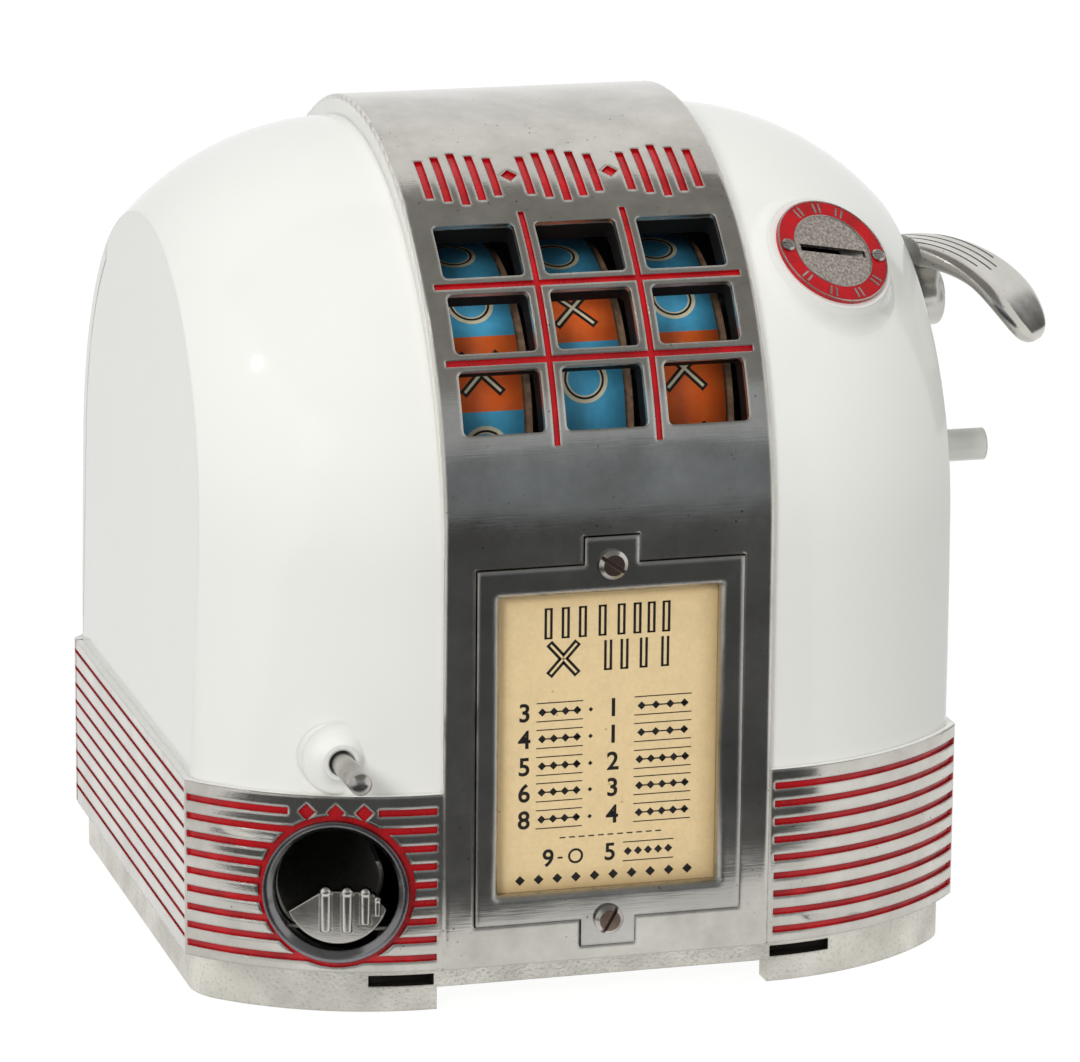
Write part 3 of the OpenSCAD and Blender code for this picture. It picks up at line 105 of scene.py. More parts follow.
def linear(hex_colour):
    """An sRGB hex value as the linear colour that the shader takes."""
    parts = [int(hex_colour[i:i + 2], 16) / 255.0 for i in (1, 3, 5)]
    return tuple(c / 12.92 if c <= 0.04045 else ((c + 0.055) / 1.055) ** 2.4 for c in parts) + (1.0,)


def grey(level):
    """A linear grey."""
    return (level, level, level, 1.0)


def per_mm(size):
    """Texture scale that gives a feature of about this size in millimetres."""
    return 1000.0 / size


def feed(made, inputs):
    """Sets a node's inputs; each is a value, a socket, or a node linked by its first output in use."""
    for name, value in inputs.items():
        if isinstance(value, bpy.types.Node):
            value = next(socket for socket in value.outputs if socket.enabled)
        if isinstance(value, bpy.types.NodeSocket):
            made.id_data.links.new(value, made.inputs[name])
        else:
            made.inputs[name].default_value = value


def add(tree, kind, inputs=None, stops=(), **settings):
    """One node with its settings and links; stops are the places and colours of a colour ramp."""
    made = tree.nodes.new("ShaderNode" + kind)
    for name, value in settings.items():
        setattr(made, name, value)
    feed(made, inputs or {})
    for i, (position, colour) in enumerate(stops):
        made.color_ramp.elements[i].position = position
        made.color_ramp.elements[i].color = colour
    return made


def start(name, **sockets):
    """A named material with its principled shader, and the object's own coordinates in metres."""
    made = bpy.data.materials.new(name)
    made.use_nodes = True
    tree = made.node_tree
    shader = tree.nodes["Principled BSDF"]
    feed(shader, {socket.replace("_", " "): value for socket, value in sockets.items()})
    place = add(tree, "TexCoord").outputs["Object"]
    return made, tree, shader, place


def drift(shader, noise, dark, light, dark_rough, light_rough, low=0.3, high=0.7):
    """Colour and roughness that change together with a noise, between two limits of it."""
    tree = shader.id_data
    tint = add(tree, "ValToRGB", {"Fac": noise}, ((low, linear(dark)), (high, linear(light))))
    rough = add(tree, "ValToRGB", {"Fac": noise}, ((low, grey(dark_rough)), (high, grey(light_rough))))
    feed(shader, {"Base Color": tint, "Roughness": rough})


def relief(shader, height, strength, depth_mm, edge_mm=0.0, samples=4):
    """Raises the surface by a noise, over relief that it has, or over edges softened to a radius."""
    tree = shader.id_data
    if edge_mm:
        feed(shader, {"Normal": add(tree, "Bevel", {"Radius": edge_mm / 1000.0}, samples=samples)})
    inputs = {"Height": height, "Strength": strength, "Distance": depth_mm / 1000.0}
    if shader.inputs["Normal"].is_linked:
        inputs["Normal"] = shader.inputs["Normal"].links[0].from_socket
    feed(shader, {"Normal": add(tree, "Bump", inputs)})


def ivory_enamel():
    """Stoved enamel on cast metal: thick, glossy, off-white, with a faint sag in the gloss and soft edges."""
    made, tree, shader, place = start("stoved_ivory_enamel", IOR=1.36, Coat_Weight=0.1, Coat_Roughness=0.05)
    cloud = add(tree, "TexNoise", {"Vector": place, "Scale": per_mm(60.0), "Detail": 2.0})
    drift(shader, cloud, "#eeeee8", "#f1f1ec", 0.10, 0.15, high=0.75)
    sag = add(tree, "TexNoise", {"Vector": place, "Scale": per_mm(18.0), "Detail": 1.0})
    relief(shader, sag, 0.06, 1.2, edge_mm=1.2)
    return made


def polished_aluminium(name, dark, light, haze_level, edge_mm):
    """Cast aluminium, polished by hand and aged: mirror-like, wavy and clouded, with scratches and pits."""
    made, tree, shader, place = start(name, Metallic=1.0)
    cloud = add(tree, "TexNoise", {"Vector": place, "Scale": per_mm(22.0), "Detail": 6.0, "Roughness": 0.65})
    tint = add(tree, "ValToRGB", {"Fac": cloud}, ((0.3, linear(dark)), (0.72, linear(light))))
    holes = add(tree, "TexVoronoi", {"Vector": place, "Scale": per_mm(2.6)})
    pit = add(tree, "ValToRGB", {"Fac": holes}, ((0.06, grey(1.0)), (0.13, grey(0.0))))
    gate = add(tree, "TexNoise", {"Vector": place, "Scale": per_mm(14.0), "Detail": 3.0})
    where = add(tree, "ValToRGB", {"Fac": gate}, ((0.5, grey(0.0)), (0.62, grey(1.0))))
    marked = add(tree, "Math", {0: pit, 1: where}, operation="MULTIPLY")
    colour = add(tree, "Mix", {"Factor": marked, "A": tint, "B": linear("#6f6c66")}, data_type="RGBA")
    # scratches run across the band, drawn 0.5 mm wide so that they show
    run = add(tree, "Mapping", {"Vector": place, "Scale": (0.06, 1.0, 1.0)})
    scratch = add(tree, "TexNoise", {"Vector": run, "Scale": per_mm(0.5), "Detail": 2.0})
    haze = add(tree, "Math", {0: cloud, 1: haze_level}, operation="MULTIPLY")
    rough = add(tree, "Math", {0: scratch, 1: 0.06, 2: haze}, operation="MULTIPLY_ADD")
    feed(shader, {"Base Color": colour, "Roughness": rough})
    wave = add(tree, "TexNoise", {"Vector": place, "Scale": per_mm(16.0), "Detail": 1.0})
    relief(shader, wave, 0.12, 1.2, edge_mm, samples=6)
    relief(shader, scratch, 0.05, 0.2)
    return made


def sand_cast_aluminium():
    """Aluminium as it leaves a sand mould, only brushed over: pale, dull and grainy."""
    made, tree, shader, place = start("sand_cast_aluminium", Metallic=1.0)
    cloud = add(tree, "TexNoise", {"Vector": place, "Scale": per_mm(12.0), "Detail": 5.0})
    tint = add(tree, "ValToRGB", {"Fac": cloud}, ((0.3, linear("#c2bfb6")), (0.72, linear("#dad7ce"))))
    grain = add(tree, "TexNoise", {"Vector": place, "Scale": per_mm(0.9), "Detail": 3.0})
    speck = add(tree, "ValToRGB", {"Fac": grain}, ((0.3, grey(0.32)), (0.46, grey(0.0))))
    colour = add(tree, "Mix", {"Factor": speck, "A": tint, "B": linear("#8a867d")}, data_type="RGBA")
    rough = add(tree, "ValToRGB", {"Fac": cloud}, ((0.3, grey(0.5)), (0.7, grey(0.36))))
    feed(shader, {"Base Color": colour, "Roughness": rough})
    relief(shader, grain, 0.7, 0.3, edge_mm=0.8)
    return made


def red_enamel():
    """Red paint run into the grooves by hand: glossy, a little uneven, darker where it is thin."""
    made, tree, shader, place = start("gloss_red_paint", IOR=1.4, Coat_Weight=0.1, Coat_Roughness=0.1)
    cloud = add(tree, "TexNoise", {"Vector": place, "Scale": per_mm(6.0), "Detail": 4.0})
    drift(shader, cloud, "#9e0c14", "#c5141d", 0.32, 0.2)
    brush = add(tree, "TexNoise", {"Vector": place, "Scale": per_mm(2.0), "Detail": 2.0})
    relief(shader, brush, 0.2, 0.3)
    return made


def plain_metal(name, dark, light, rough_low, rough_high, grain_mm):
    """A machined metal with handling marks: colour and gloss drift together, with a fine tooth."""
    made, tree, shader, place = start(name, Metallic=1.0)
    cloud = add(tree, "TexNoise", {"Vector": place, "Scale": per_mm(9.0), "Detail": 5.0})
    drift(shader, cloud, dark, light, rough_high, rough_low)
    grain = add(tree, "TexNoise", {"Vector": place, "Scale": per_mm(grain_mm), "Detail": 2.0})
    relief(shader, grain, 0.15, 0.2, edge_mm=0.3)
    return made


def blasted_disc():
    """Sand-blasted face of the coin entry's disc: a fine pebbled grain, pale on top and grey between."""
    made, tree, shader, place = start("blasted_steel_disc", Metallic=1.0, Roughness=0.48)
    grain = add(tree, "TexNoise", {"Vector": place, "Scale": per_mm(0.75), "Detail": 3.0})
    tint = add(tree, "ValToRGB", {"Fac": grain}, ((0.34, linear("#a0978f")), (0.66, linear("#dcd3ca"))))
    feed(shader, {"Base Color": tint})
    relief(shader, grain, 0.4, 0.3)
    return made


def inner_casting():
    """Inside of the castings: dull near-black over rough metal, painted shade, so that nothing shows behind
    the reels.
    """
    made, tree, shader, place = start("painted_shade_black_casting", Metallic=0.0)
    cloud = add(tree, "TexNoise", {"Vector": place, "Scale": per_mm(10.0), "Detail": 4.0})
    drift(shader, cloud, "#16130f", "#2b2621", 0.85, 0.65)
    grain = add(tree, "TexNoise", {"Vector": place, "Scale": per_mm(1.2), "Detail": 3.0})
    relief(shader, grain, 0.4, 0.4)
    return made


def window_reveal():
    """Wall of a window in the band: a bright rubbed lip at the face, and near-black painted shade behind it.
    """
    lip_bright, lip_gone, fray_mm = 1.1, 1.6, 0.6
    made, tree, shader, place = start("window_reveal")
    split = add(tree, "SeparateXYZ", {"Vector": place})
    rise = add(tree, "Math", {0: split.outputs["Z"], 1: AXIS_Z / 1000.0}, operation="SUBTRACT")
    flat = add(tree, "CombineXYZ", {"X": split.outputs["Y"], "Y": rise})
    out = add(tree, "VectorMath", {0: flat}, operation="LENGTH")
    fray = add(tree, "TexNoise", {"Vector": place, "Scale": per_mm(3.0), "Detail": 3.0})
    waved = add(tree, "Math", {0: fray, 1: fray_mm / 1000.0, 2: out}, operation="MULTIPLY_ADD")
    lip = add(tree, "MapRange", {"Value": waved, "From Min": (BAND_R - lip_gone) / 1000.0,
                                 "From Max": (BAND_R - lip_bright) / 1000.0})
    dark, bright = linear("#0c0a08"), linear("#dcd9d2")
    colour = add(tree, "Mix", {"Factor": lip, "A": dark, "B": bright}, data_type="RGBA")
    rough = add(tree, "MapRange", {"Value": lip, "To Min": 0.8, "To Max": 0.3})
    edge = add(tree, "Bevel", {"Radius": 0.0008}, samples=4)
    feed(shader, {"Base Color": colour, "Metallic": lip, "Roughness": rough, "Normal": edge})
    return made


def card_stock():
    """Cream card gone buff with age, with paper fibre and a few foxing specks; a rim along the frame's
    opening is mixed darker.
    """
    made, tree, shader, place = start("aged_cream_card", Roughness=0.75, IOR=1.4)
    fibre = add(tree, "TexNoise", {"Vector": place, "Scale": per_mm(1.1), "Detail": 4.0})
    paper = add(tree, "ValToRGB", {"Fac": fibre}, ((0.3, linear("#f4d8a4")), (0.7, linear("#fae0b0"))))
    split = add(tree, "SeparateXYZ", {"Vector": place})
    across = add(tree, "Math", {0: split.outputs["X"]}, operation="ABSOLUTE")
    level = add(tree, "Math", {0: split.outputs["Z"], 1: CARD_Z / 1000.0}, operation="SUBTRACT")
    height = add(tree, "Math", {0: level}, operation="ABSOLUTE")
    # the rim starts 24.5 mm out at the sides and 34.5 mm out at the ends
    side = add(tree, "MapRange", {"Value": across, "From Min": 0.0245, "From Max": 0.0300})
    end = add(tree, "MapRange", {"Value": height, "From Min": 0.0345, "From Max": 0.0402})
    rim = add(tree, "Math", {0: side, 1: end}, operation="MAXIMUM")
    rim_share = add(tree, "Math", {0: rim, 1: 0.38}, operation="MULTIPLY")
    rimmed_paper = add(tree, "Mix", {"Factor": rim_share, "A": paper, "B": linear("#cfa76c")}, data_type="RGBA")
    fox = add(tree, "TexVoronoi", {"Vector": place, "Scale": per_mm(9.0)})
    spot = add(tree, "ValToRGB", {"Fac": fox}, ((0.02, grey(0.6)), (0.05, grey(0.0))))
    colour = add(tree, "Mix", {"Factor": spot, "A": rimmed_paper, "B": linear("#b08a4f")}, data_type="RGBA")
    feed(shader, {"Base Color": colour})
    relief(shader, fibre, 0.12, 0.2)
    return made


def printed_ink(name, dark, light):
    """Letterpress ink on paper: even colour with a slight mottle and a soft sheen."""
    made, tree, shader, place = start(name, Roughness=0.5, IOR=1.45)
    mottle = add(tree, "TexNoise", {"Vector": place, "Scale": per_mm(2.2), "Detail": 4.0})
    tint = add(tree, "ValToRGB", {"Fac": mottle}, ((0.3, linear(dark)), (0.7, linear(light))))
    feed(shader, {"Base Color": tint})
    tooth = add(tree, "TexNoise", {"Vector": place, "Scale": per_mm(0.8), "Detail": 2.0})
    relief(shader, tooth, 0.06, 0.2)
    return made


def clear_celluloid():
    """Clear sheet with a little dust on it: all but unseen, apart from a thin gloss."""
    tint = linear("#303432")
    made, tree, shader, place = start("clear_celluloid", Roughness=0.06, IOR=1.48, Base_Color=tint)
    dust = add(tree, "TexNoise", {"Vector": place, "Scale": per_mm(3.0), "Detail": 5.0})
    film = add(tree, "ValToRGB", {"Fac": dust}, ((0.4, grey(0.012)), (0.75, grey(0.035))))
    feed(shader, {"Alpha": film})
    return made


MATERIALS = {
    "ivory": ivory_enamel(),
    # band, skirt and the coin ring's bare metal, rubbed bright
    "polished": polished_aluminium("aged_polished_aluminium", "#aeaba4", "#d0cdc6", 0.24, 1.3),
    # card frame in a darker tint, and the lever's sides, underside, hub and neck, where the darker tint is
    # painted shade
    "frame": polished_aluminium("darker_tint_and_painted_shade_aluminium", "#a5a39e", "#c2c0ba", 0.26, 1.8),
    # rim of the gum port, darker metal as painted shade
    "port_rim": polished_aluminium("painted_shade_dark_aluminium", "#6e6d6e", "#8d8c8e", 0.30, 1.0),
    # lever's back and gum flap, worn satin by hands
    "satin": polished_aluminium("hand_worn_aluminium", "#b6b3ac", "#d0cdc6", 0.30, 0.6),
    "sand_cast": sand_cast_aluminium(),
    "red": red_enamel(),
    "inside": inner_casting(),
    "reveal": window_reveal(),
    # screws, lock body and push rod, handled until they shine
    "bright_steel": plain_metal("bright_steel", "#8f8b86", "#c2bfba", 0.16, 0.34, 0.9),
    # zinc plated sheet and rod inside, gone dull
    "plated_steel": plain_metal("dull_plated_steel", "#77756f", "#9c9a94", 0.34, 0.52, 1.2),
    "blasted_steel": blasted_disc(),
    # turned brass of the bush, lock plug, slide and spacers
    "brass": plain_metal("turned_brass", "#8f7238", "#b8974f", 0.22, 0.42, 1.0),
    # faces of the card frame's screws, gone brown
    "browned_steel": plain_metal("browned_steel", "#5d4a41", "#8b7a6e", 0.3, 0.5, 0.8),
    # fibre rim of the reels, brown and matt
    "fibre": printed_ink("brown_fibre", "#6e5443", "#9a7d64"),
    # brown lacquered tinplate of the drums
    "drum": plain_metal("brown_lacquered_tinplate", "#4a382d", "#6b5344", 0.4, 0.6, 1.5),
    "card": card_stock(),
    "black_ink": printed_ink("black_ink", "#14110f", "#2a2521"),
    "cream_ink": printed_ink("cream_ink", "#e2d8b8", "#efe6c8"),
    "blue_ink": printed_ink("blue_ink", "#4fb2dd", "#5cc0ea"),
    "orange_ink": printed_ink("orange_ink", "#ff6a24", "#ff7a34"),
    "clear": clear_celluloid(),
}


# finishes on the solids

FINISHES = {
    "frame": ("card_frame",),
    "satin": ("lever", "gum_flap"),
    "sand_cast": ("gum_housing", "gum_chute"),
    "red": ("coin_entry_ring",),
    "blasted_steel": ("coin_entry_disc",),
    "bright_steel": ("gum_plunger", "plinth_screws", "lock_body", "coin_entry_screws"),
    "brass": ("lock_plug", "shaft_bush", "gum_slide", "reel_spacers"),
    "drum": ("reel_drum_left", "reel_drum_centre", "reel_drum_right"),
    "clear": ("card_cover", "window_pane"),
    "card": ("award_card",),
    "plated_steel": ("door_hinge_pins", "lock_cam", "lock_keeper", "coin_chute", "cash_box", "lever_shaft",
                     "lever_pin", "drive_crank", "lever_spring", "plunger_spring", "gum_flap_pin",
                     "star_wheel_left", "star_wheel_centre", "star_wheel_right", "reel_shaft", "shaft_nuts",
                     "side_plate_left", "side_plate_right", "frame_screws", "tie_rods", "tie_rod_nuts",
                     "kicker_bail", "kicker_shaft", "stop_bail", "stop_shaft"),
}


def finish_node(name, *keys):
    """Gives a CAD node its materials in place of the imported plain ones."""
    slots = node[name].data.materials
    slots.clear()
    for key in keys:
        slots.append(MATERIALS[key])


def face_u(x, radius, shoulder):
    """Distance of the cabinet's face from the crown's axis at a sideways place."""
    beyond = np.clip(x - HALF_BAND, 0.0, shoulder)
    return radius - shoulder + np.sqrt(shoulder ** 2 - beyond ** 2)


def finish_casting(name):
    """Ivory body, polished band and skirt, red grooves and a black inside as painted shade, by the place of
    each face.
    """
    finish_node(name, "ivory", "polished", "red", "inside", "reveal", "port_rim")
    mesh = node[name].data
    faces = mesh.polygons
    points = np.zeros(len(mesh.vertices) * 3)
    mesh.vertices.foreach_get("co", points)
    points = points.reshape(-1, 3) * 1000.0
    corners = np.array([face.vertices[:3] for face in faces])
    spread = points[corners]                     # three corners of each triangle
    x, y, z = spread.mean(axis=1).T
    side = np.abs(x)
    body_axis = AXIS_Z - CROWN_DROP
    out = np.where(z > body_axis, np.hypot(y, z - body_axis), np.abs(y))
    inner_u = face_u(side, BODY_R - WALL, SHOULDER_R - WALL)
    cheek = CHEEK_X - (z - LEDGE_Z) * math.tan(math.radians(CHEEK_LEAN))
    inside = (out < inner_u + NEAR) & (side < np.minimum(cheek, CHEEK_X) - WALL + NEAR)
    band = side < HALF_BAND - INSET
    skirt = ~band & (z < LEDGE_Z - INSET)
    # depth of each corner under the polished faces; the deepest corner tells groove from face
    cx, cy, cz = spread[:, :, 0], spread[:, :, 1], spread[:, :, 2]
    corner_out = np.where(cz > AXIS_Z, np.hypot(cy, cz - AXIS_Z), np.abs(cy))
    band_deep = (BAND_R - corner_out).max(axis=1)
    round_off = np.hypot(np.clip(np.abs(cx) - HALF_BAND, 0.0, None), np.abs(cy) - SKIRT_R + SKIRT_SHOULDER)
    skirt_deep = (SKIRT_SHOULDER - round_off).max(axis=1)
    cheek_deep = (SKIRT_X - np.abs(cx)).max(axis=1)
    corner_u = float(face_u(np.array([SKIRT_X]), SKIRT_R, SKIRT_SHOULDER)[0])
    red = band & (side < BAND_GROOVE_X) & (band_deep > SURFACE) & (band_deep < GROOVE)
    red |= skirt & (side < FRONT_X) & (skirt_deep > SURFACE) & (skirt_deep < GROOVE)
    on_cheek = np.abs(cy).max(axis=1) < corner_u - 0.5
    red |= skirt & (cheek_deep > SURFACE) & (cheek_deep < GROOVE) & on_cheek
    # at the corners a groove lies under both the front and the cheek
    corner_deep = np.minimum(SKIRT_SHOULDER - round_off, SKIRT_X - np.abs(cx)).max(axis=1)
    red |= skirt & (side > CORNER_X) & (corner_deep > CORNER_SURFACE) & (corner_deep < GROOVE)
    reveal = band & (z > AXIS_Z) & (band_deep > GROOVE) & ~inside
    # walls of the seam between casting and door, in shade
    turned_x, turned_y = np.array([face.normal[:2] for face in faces]).T
    arch = np.where(cz > AXIS_Z, np.hypot(cy, cz - AXIS_Z), cy)
    seam = (np.abs(arch - ARCH_R).max(axis=1) < SEAM) & (np.abs(turned_x) < 0.5)
    seam |= (np.abs(cy - SEAM_Y).max(axis=1) < SEAM) & (np.abs(turned_y) > 0.9)
    # the port's rim has no paint in it; its darker metal is painted shade
    turn = math.asin((GUM_X - HALF_BAND) / SKIRT_SHOULDER)
    gum_u = float(face_u(np.array([GUM_X]), SKIRT_R, SKIRT_SHOULDER)[0])
    along = (x + GUM_X) * math.cos(turn) - (y + gum_u) * math.sin(turn)
    rim = skirt & (np.hypot(along, z - GUM_Z) < RIM_R + NEAR) & (y < 0) & (x < 0)
    red &= ~rim
    index = np.where(band | skirt, 1, 0)
    for slot, chosen in ((5, rim), (4, reveal), (2, red), (3, inside | seam)):
        index[chosen] = slot
    faces.foreach_set("material_index", index.astype(np.int32))


def finish_solids():
    """Each CAD node's finish; the castings, the plinth and the card frame's screws have more than one."""
    for key, names in FINISHES.items():
        for name in names:
            finish_node(name, key)
    for name in ("front_casting", "rear_door"):
        finish_casting(name)
    # the two slots in the plinth's front are dark inside, painted shade
    finish_node("plinth", "sand_cast", "inside")
    for face in node["plinth"].data.polygons:
        x, y, z = face.center * 1000.0
        in_slot = SLOT_START_X < abs(x) < SLOT_END_X and y < SLOT_BACK_Y and SLOT_LOW_Z < z < SLOT_HIGH_Z
        flush = face.normal.y < -0.3
        face.material_index = 1 if in_slot and (not flush or y > SLOT_FLOOR_Y) else 0
    # screw heads: bright at the rim, browned on the face and in the slot
    finish_node("card_frame_screws", "bright_steel", "browned_steel")
    low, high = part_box("card_frame_screws")
    levels = (low[2] * 1000.0 + SCREW_HEAD_R, high[2] * 1000.0 - SCREW_HEAD_R)
    for face in node["card_frame_screws"].data.polygons:
        x, y, z = face.center * 1000.0
        off = min(math.hypot(x, z - level) for level in levels)
        face.material_index = 1 if off < SCREW_FACE_R else 0


# modelling helpers

def clear_choice():
    """Leaves nothing selected, so that an operator acts on the new piece alone."""
    bpy.ops.object.select_all(action="DESELECT")


def choose(*pieces):
    """Selects these pieces and nothing else, with the first one active."""
    clear_choice()
    for piece in pieces:
        piece.select_set(True)
    bpy.context.view_layer.objects.active = pieces[0]


def settle(piece, name, key=None):
    """Applies the piece's place to its mesh, names it and gives it a material."""
    choose(piece)
    bpy.ops.object.transform_apply(location=True, rotation=True, scale=True)
    piece.name = name
    piece.data.name = name
    if key:
        piece.data.materials.clear()
        piece.data.materials.append(MATERIALS[key])
    return piece


def join(pieces, name):
    """Several pieces as one object, each keeping its own material."""
    choose(*pieces)
    bpy.ops.object.join()
    return settle(bpy.context.object, name)


def modify(piece, kind, **settings):
    """Adds a modifier to the active piece and applies it."""
    made = piece.modifiers.new(kind.lower(), kind)
    for name, value in settings.items():
        setattr(made, name, value)
    bpy.ops.object.modifier_apply(modifier=made.name)


def edit_all():
    """Opens the active piece's mesh with all of it selected."""
    bpy.ops.object.mode_set(mode="EDIT")
    bpy.ops.mesh.select_all(action="SELECT")


def close_outwards():
    """Turns the open mesh's faces outwards and closes it."""
    bpy.ops.mesh.select_all(action="SELECT")
    bpy.ops.mesh.normals_make_consistent(inside=False)
    bpy.ops.object.mode_set(mode="OBJECT")


def smooth_by(degrees):
    """Smooth shading on the chosen piece, apart from edges sharper than an angle."""
    bpy.ops.object.shade_smooth_by_angle(angle=math.radians(degrees))


# print on the card, in millimetres from the card's middle

INK_LIFT = 0.03          # ink stands this far off the card, so that it shows


def flat_bar(width, height, x, z, turn=0.0, key="black_ink"):
    """An inked bar on the card."""
    clear_choice()
    bpy.ops.mesh.primitive_plane_add(size=0.001, location=metres(x, CARD_FACE_Y - INK_LIFT, CARD_Z + z),
                                     rotation=(QUARTER, math.radians(turn), 0.0))
    bar = bpy.context.object
    bar.scale = (width, height, 1.0)
    return settle(bar, "bar", key)


def flat_ring(outer, inner, x, z):
    """An inked ring on the card."""
    clear_choice()
    bpy.ops.mesh.primitive_circle_add(vertices=48, radius=outer / 1000.0, fill_type="NGON",
                                      location=metres(x, CARD_FACE_Y - INK_LIFT, CARD_Z + z),
                                      rotation=(QUARTER, 0.0, 0.0))
    ring = bpy.context.object
    bpy.ops.object.mode_set(mode="EDIT")
    bpy.ops.mesh.select_mode(type="FACE")
    bpy.ops.mesh.select_all(action="SELECT")
    bpy.ops.mesh.inset(thickness=(outer - inner) / 1000.0)
    bpy.ops.mesh.delete(type="FACE")
    bpy.ops.object.mode_set(mode="OBJECT")
    return settle(ring, "ring", "black_ink")


def numeral(figure, height, x, z, turn=0.0):
    """A printed figure, centred at a place on the card."""
    clear_choice()
    bpy.ops.object.text_add(location=metres(x, CARD_FACE_Y - INK_LIFT, CARD_Z + z),
                            rotation=(QUARTER, math.radians(turn), 0.0))
    words = bpy.context.object
    words.data.body = figure
    words.data.align_x = "CENTER"
    words.data.align_y = "CENTER"
    words.data.size = height / 1000.0 * 1.38     # a figure is about 0.72 of its type size high
    words.data.resolution_u = 6
    words.data.offset = height / 1000.0 * 0.028
    bpy.ops.object.convert(target="MESH")
    return settle(bpy.context.object, "numeral", "black_ink")


def card_print():
    """Bars, rules, numerals and one crossed mark on the card: a plain score table."""
    made = []
    # heading: two rows of double bars with feet, the upper row with caps too
    for x in (-15.5, -10.9, -6.3, -1.0, 4.1, 8.4, 12.2, 16.2):
        for shift in (-0.75, 0.75):
            made.append(flat_bar(0.7, 8.3, x + shift, 31.4))
        for z in (27.5, 35.3):
            made.append(flat_bar(2.2, 0.5, x, z))
    for x in (0.6, 5.0, 10.2, 16.0):
        for shift in (-0.75, 0.75):
            made.append(flat_bar(0.7, 8.1, x + shift, 22.0))
        made.append(flat_bar(2.2, 0.5, x, 18.2))
    # crossed mark with a light line along each stroke
    for turn in (42.0, -42.0):
        made.append(flat_bar(2.1, 11.6, -11.4, 21.8, turn))
    for turn in (42.0, -42.0):
        core = flat_bar(0.6, 10.4, -11.4, 21.8, turn, "card")
        core.data.transform(Matrix.Translation(metres(0.0, -INK_LIFT, 0.0)))
        made.append(core)
    # score rows: height, two figures and the lozenges in the second rule
    rows = ((7.6, "3", "1", 4), (0.4, "4", "1", 4), (-6.9, "5", "2", 5), (-14.0, "6", "3", 5),
            (-21.3, "8", "4", 5))
    for z, left, right, lozenges in rows:
        made.append(numeral(left, 4.9, -21.7, z))
        made.append(numeral(right, 4.9, 2.2, z))
        made.append(flat_bar(0.9, 0.9, -3.9, z + 0.1, 45.0))
        for low, high, count in ((-18.5, -6.0, 4), (7.9, 23.4, lozenges)):
            middle = (low + high) / 2.0
            made.append(flat_bar(high - low, 0.28, middle, z + 2.6))
            made.append(flat_bar(high - low, 0.28, middle, z - 2.3))
            step = (high - low) / count
            for i in range(count):
                place = low + (i + 0.5) * step
                made.append(flat_bar(1.6, 1.6, place, z + 0.15, 45.0))
                link = place + step * 0.5 if i < count - 1 else place
                made.append(flat_bar(step * 0.5, 0.36, link, z + 0.15))
    # foot: a dashed rule, one more row and a line of lozenges
    for i in range(11):
        made.append(flat_bar(1.6, 0.35, -11.2 + i * 2.6, -26.5))
    made.append(numeral("6", 4.7, -15.0, -31.5, 180.0))
    made.append(flat_bar(1.4, 0.5, -11.8, -31.9))
    made.append(flat_ring(2.05, 1.45, -7.6, -31.7))
    made.append(numeral("5", 4.7, 1.7, -31.5))
    for z in (-29.0, -34.1):
        made.append(flat_bar(13.8, 0.28, 12.1, z))
    for i in range(5):
        made.append(flat_bar(1.6, 1.6, 6.6 + i * 2.75, -31.5, 45.0))
    for i in range(10):
        made.append(flat_bar(1.9, 1.9, -22.6 + i * 5.05, -37.4, 45.0))
    piece = join(made, "card_print")
    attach(piece, "cabinet")


# reels

PANEL_TURN = 24.0        # degrees of the strip for each mark
PANEL_CUTS = 8           # flats in one panel
PAPER = 0.45             # the strip's thickness
FIBRE_R, FIBRE_W, FIBRE_T, FIBRE_X = 46.4, 2.4, 5.0, 12.0
INKS = ("blue_ink", "orange_ink", "cream_ink", "black_ink")
BLUE, ORANGE, CREAM, BLACK = range(4)
# marks down the front of each strip, and the angle of the first one above the horizontal
REEL_MARKS = {
    "left": (50.2, "OXOOXOXOOXOXXOO"),
    "centre": (46.6, "XOOXOOXOXOOXOXO"),
    "right": (48.3, "OXXOOXOOXOXOOXO"),
}


def on_strip(x, s, angle, lift):
    """A point of the print: x across the strip and s up it in millimetres, at a panel's angle."""
    turn = math.radians(angle) + s / REEL_R
    out = REEL_R + lift
    return Vector((x, REEL_Y - out * math.cos(turn), REEL_Z + out * math.sin(turn))) / 1000.0


def strip_shell(side):
    """The paper strip: a ring of panels with a real thickness, blue and orange by mark."""
    first, marks = REEL_MARKS[side]
    clear_choice()
    bpy.ops.mesh.primitive_cylinder_add(vertices=PANEL_CUTS * len(marks), radius=REEL_R / 1000.0,
                                        depth=REEL_W / 1000.0, end_fill_type="NOTHING",
                                        rotation=(0.0, QUARTER, 0.0))
    shell = settle(bpy.context.object, "reel_print_" + side)
    # turned so that a panel's edge lies half a panel above the first mark
    turn = math.radians(first + PANEL_TURN / 2.0)
    start_at = math.atan2(shell.data.vertices[0].co.z, -shell.data.vertices[0].co.y)
    shell.data.transform(Matrix.Rotation(start_at - turn, 4, "X"))
    shell.data.transform(Matrix.Translation(metres(REEL_X[side], REEL_Y, REEL_Z)))
    for key in INKS:
        shell.data.materials.append(MATERIALS[key])
    for face in shell.data.polygons:
        angle = math.degrees(math.atan2(face.center.z - REEL_Z / 1000.0, REEL_Y / 1000.0 - face.center.y))
        place = int(((first + PANEL_TURN / 2.0 - angle) % 360.0) / PANEL_TURN)
        face.material_index = ORANGE if marks[place] == "X" else BLUE
        face.use_smooth = True
    modify(shell, "SOLIDIFY", thickness=PAPER / 1000.0, offset=-1.0, material_offset_rim=CREAM)
    return shell


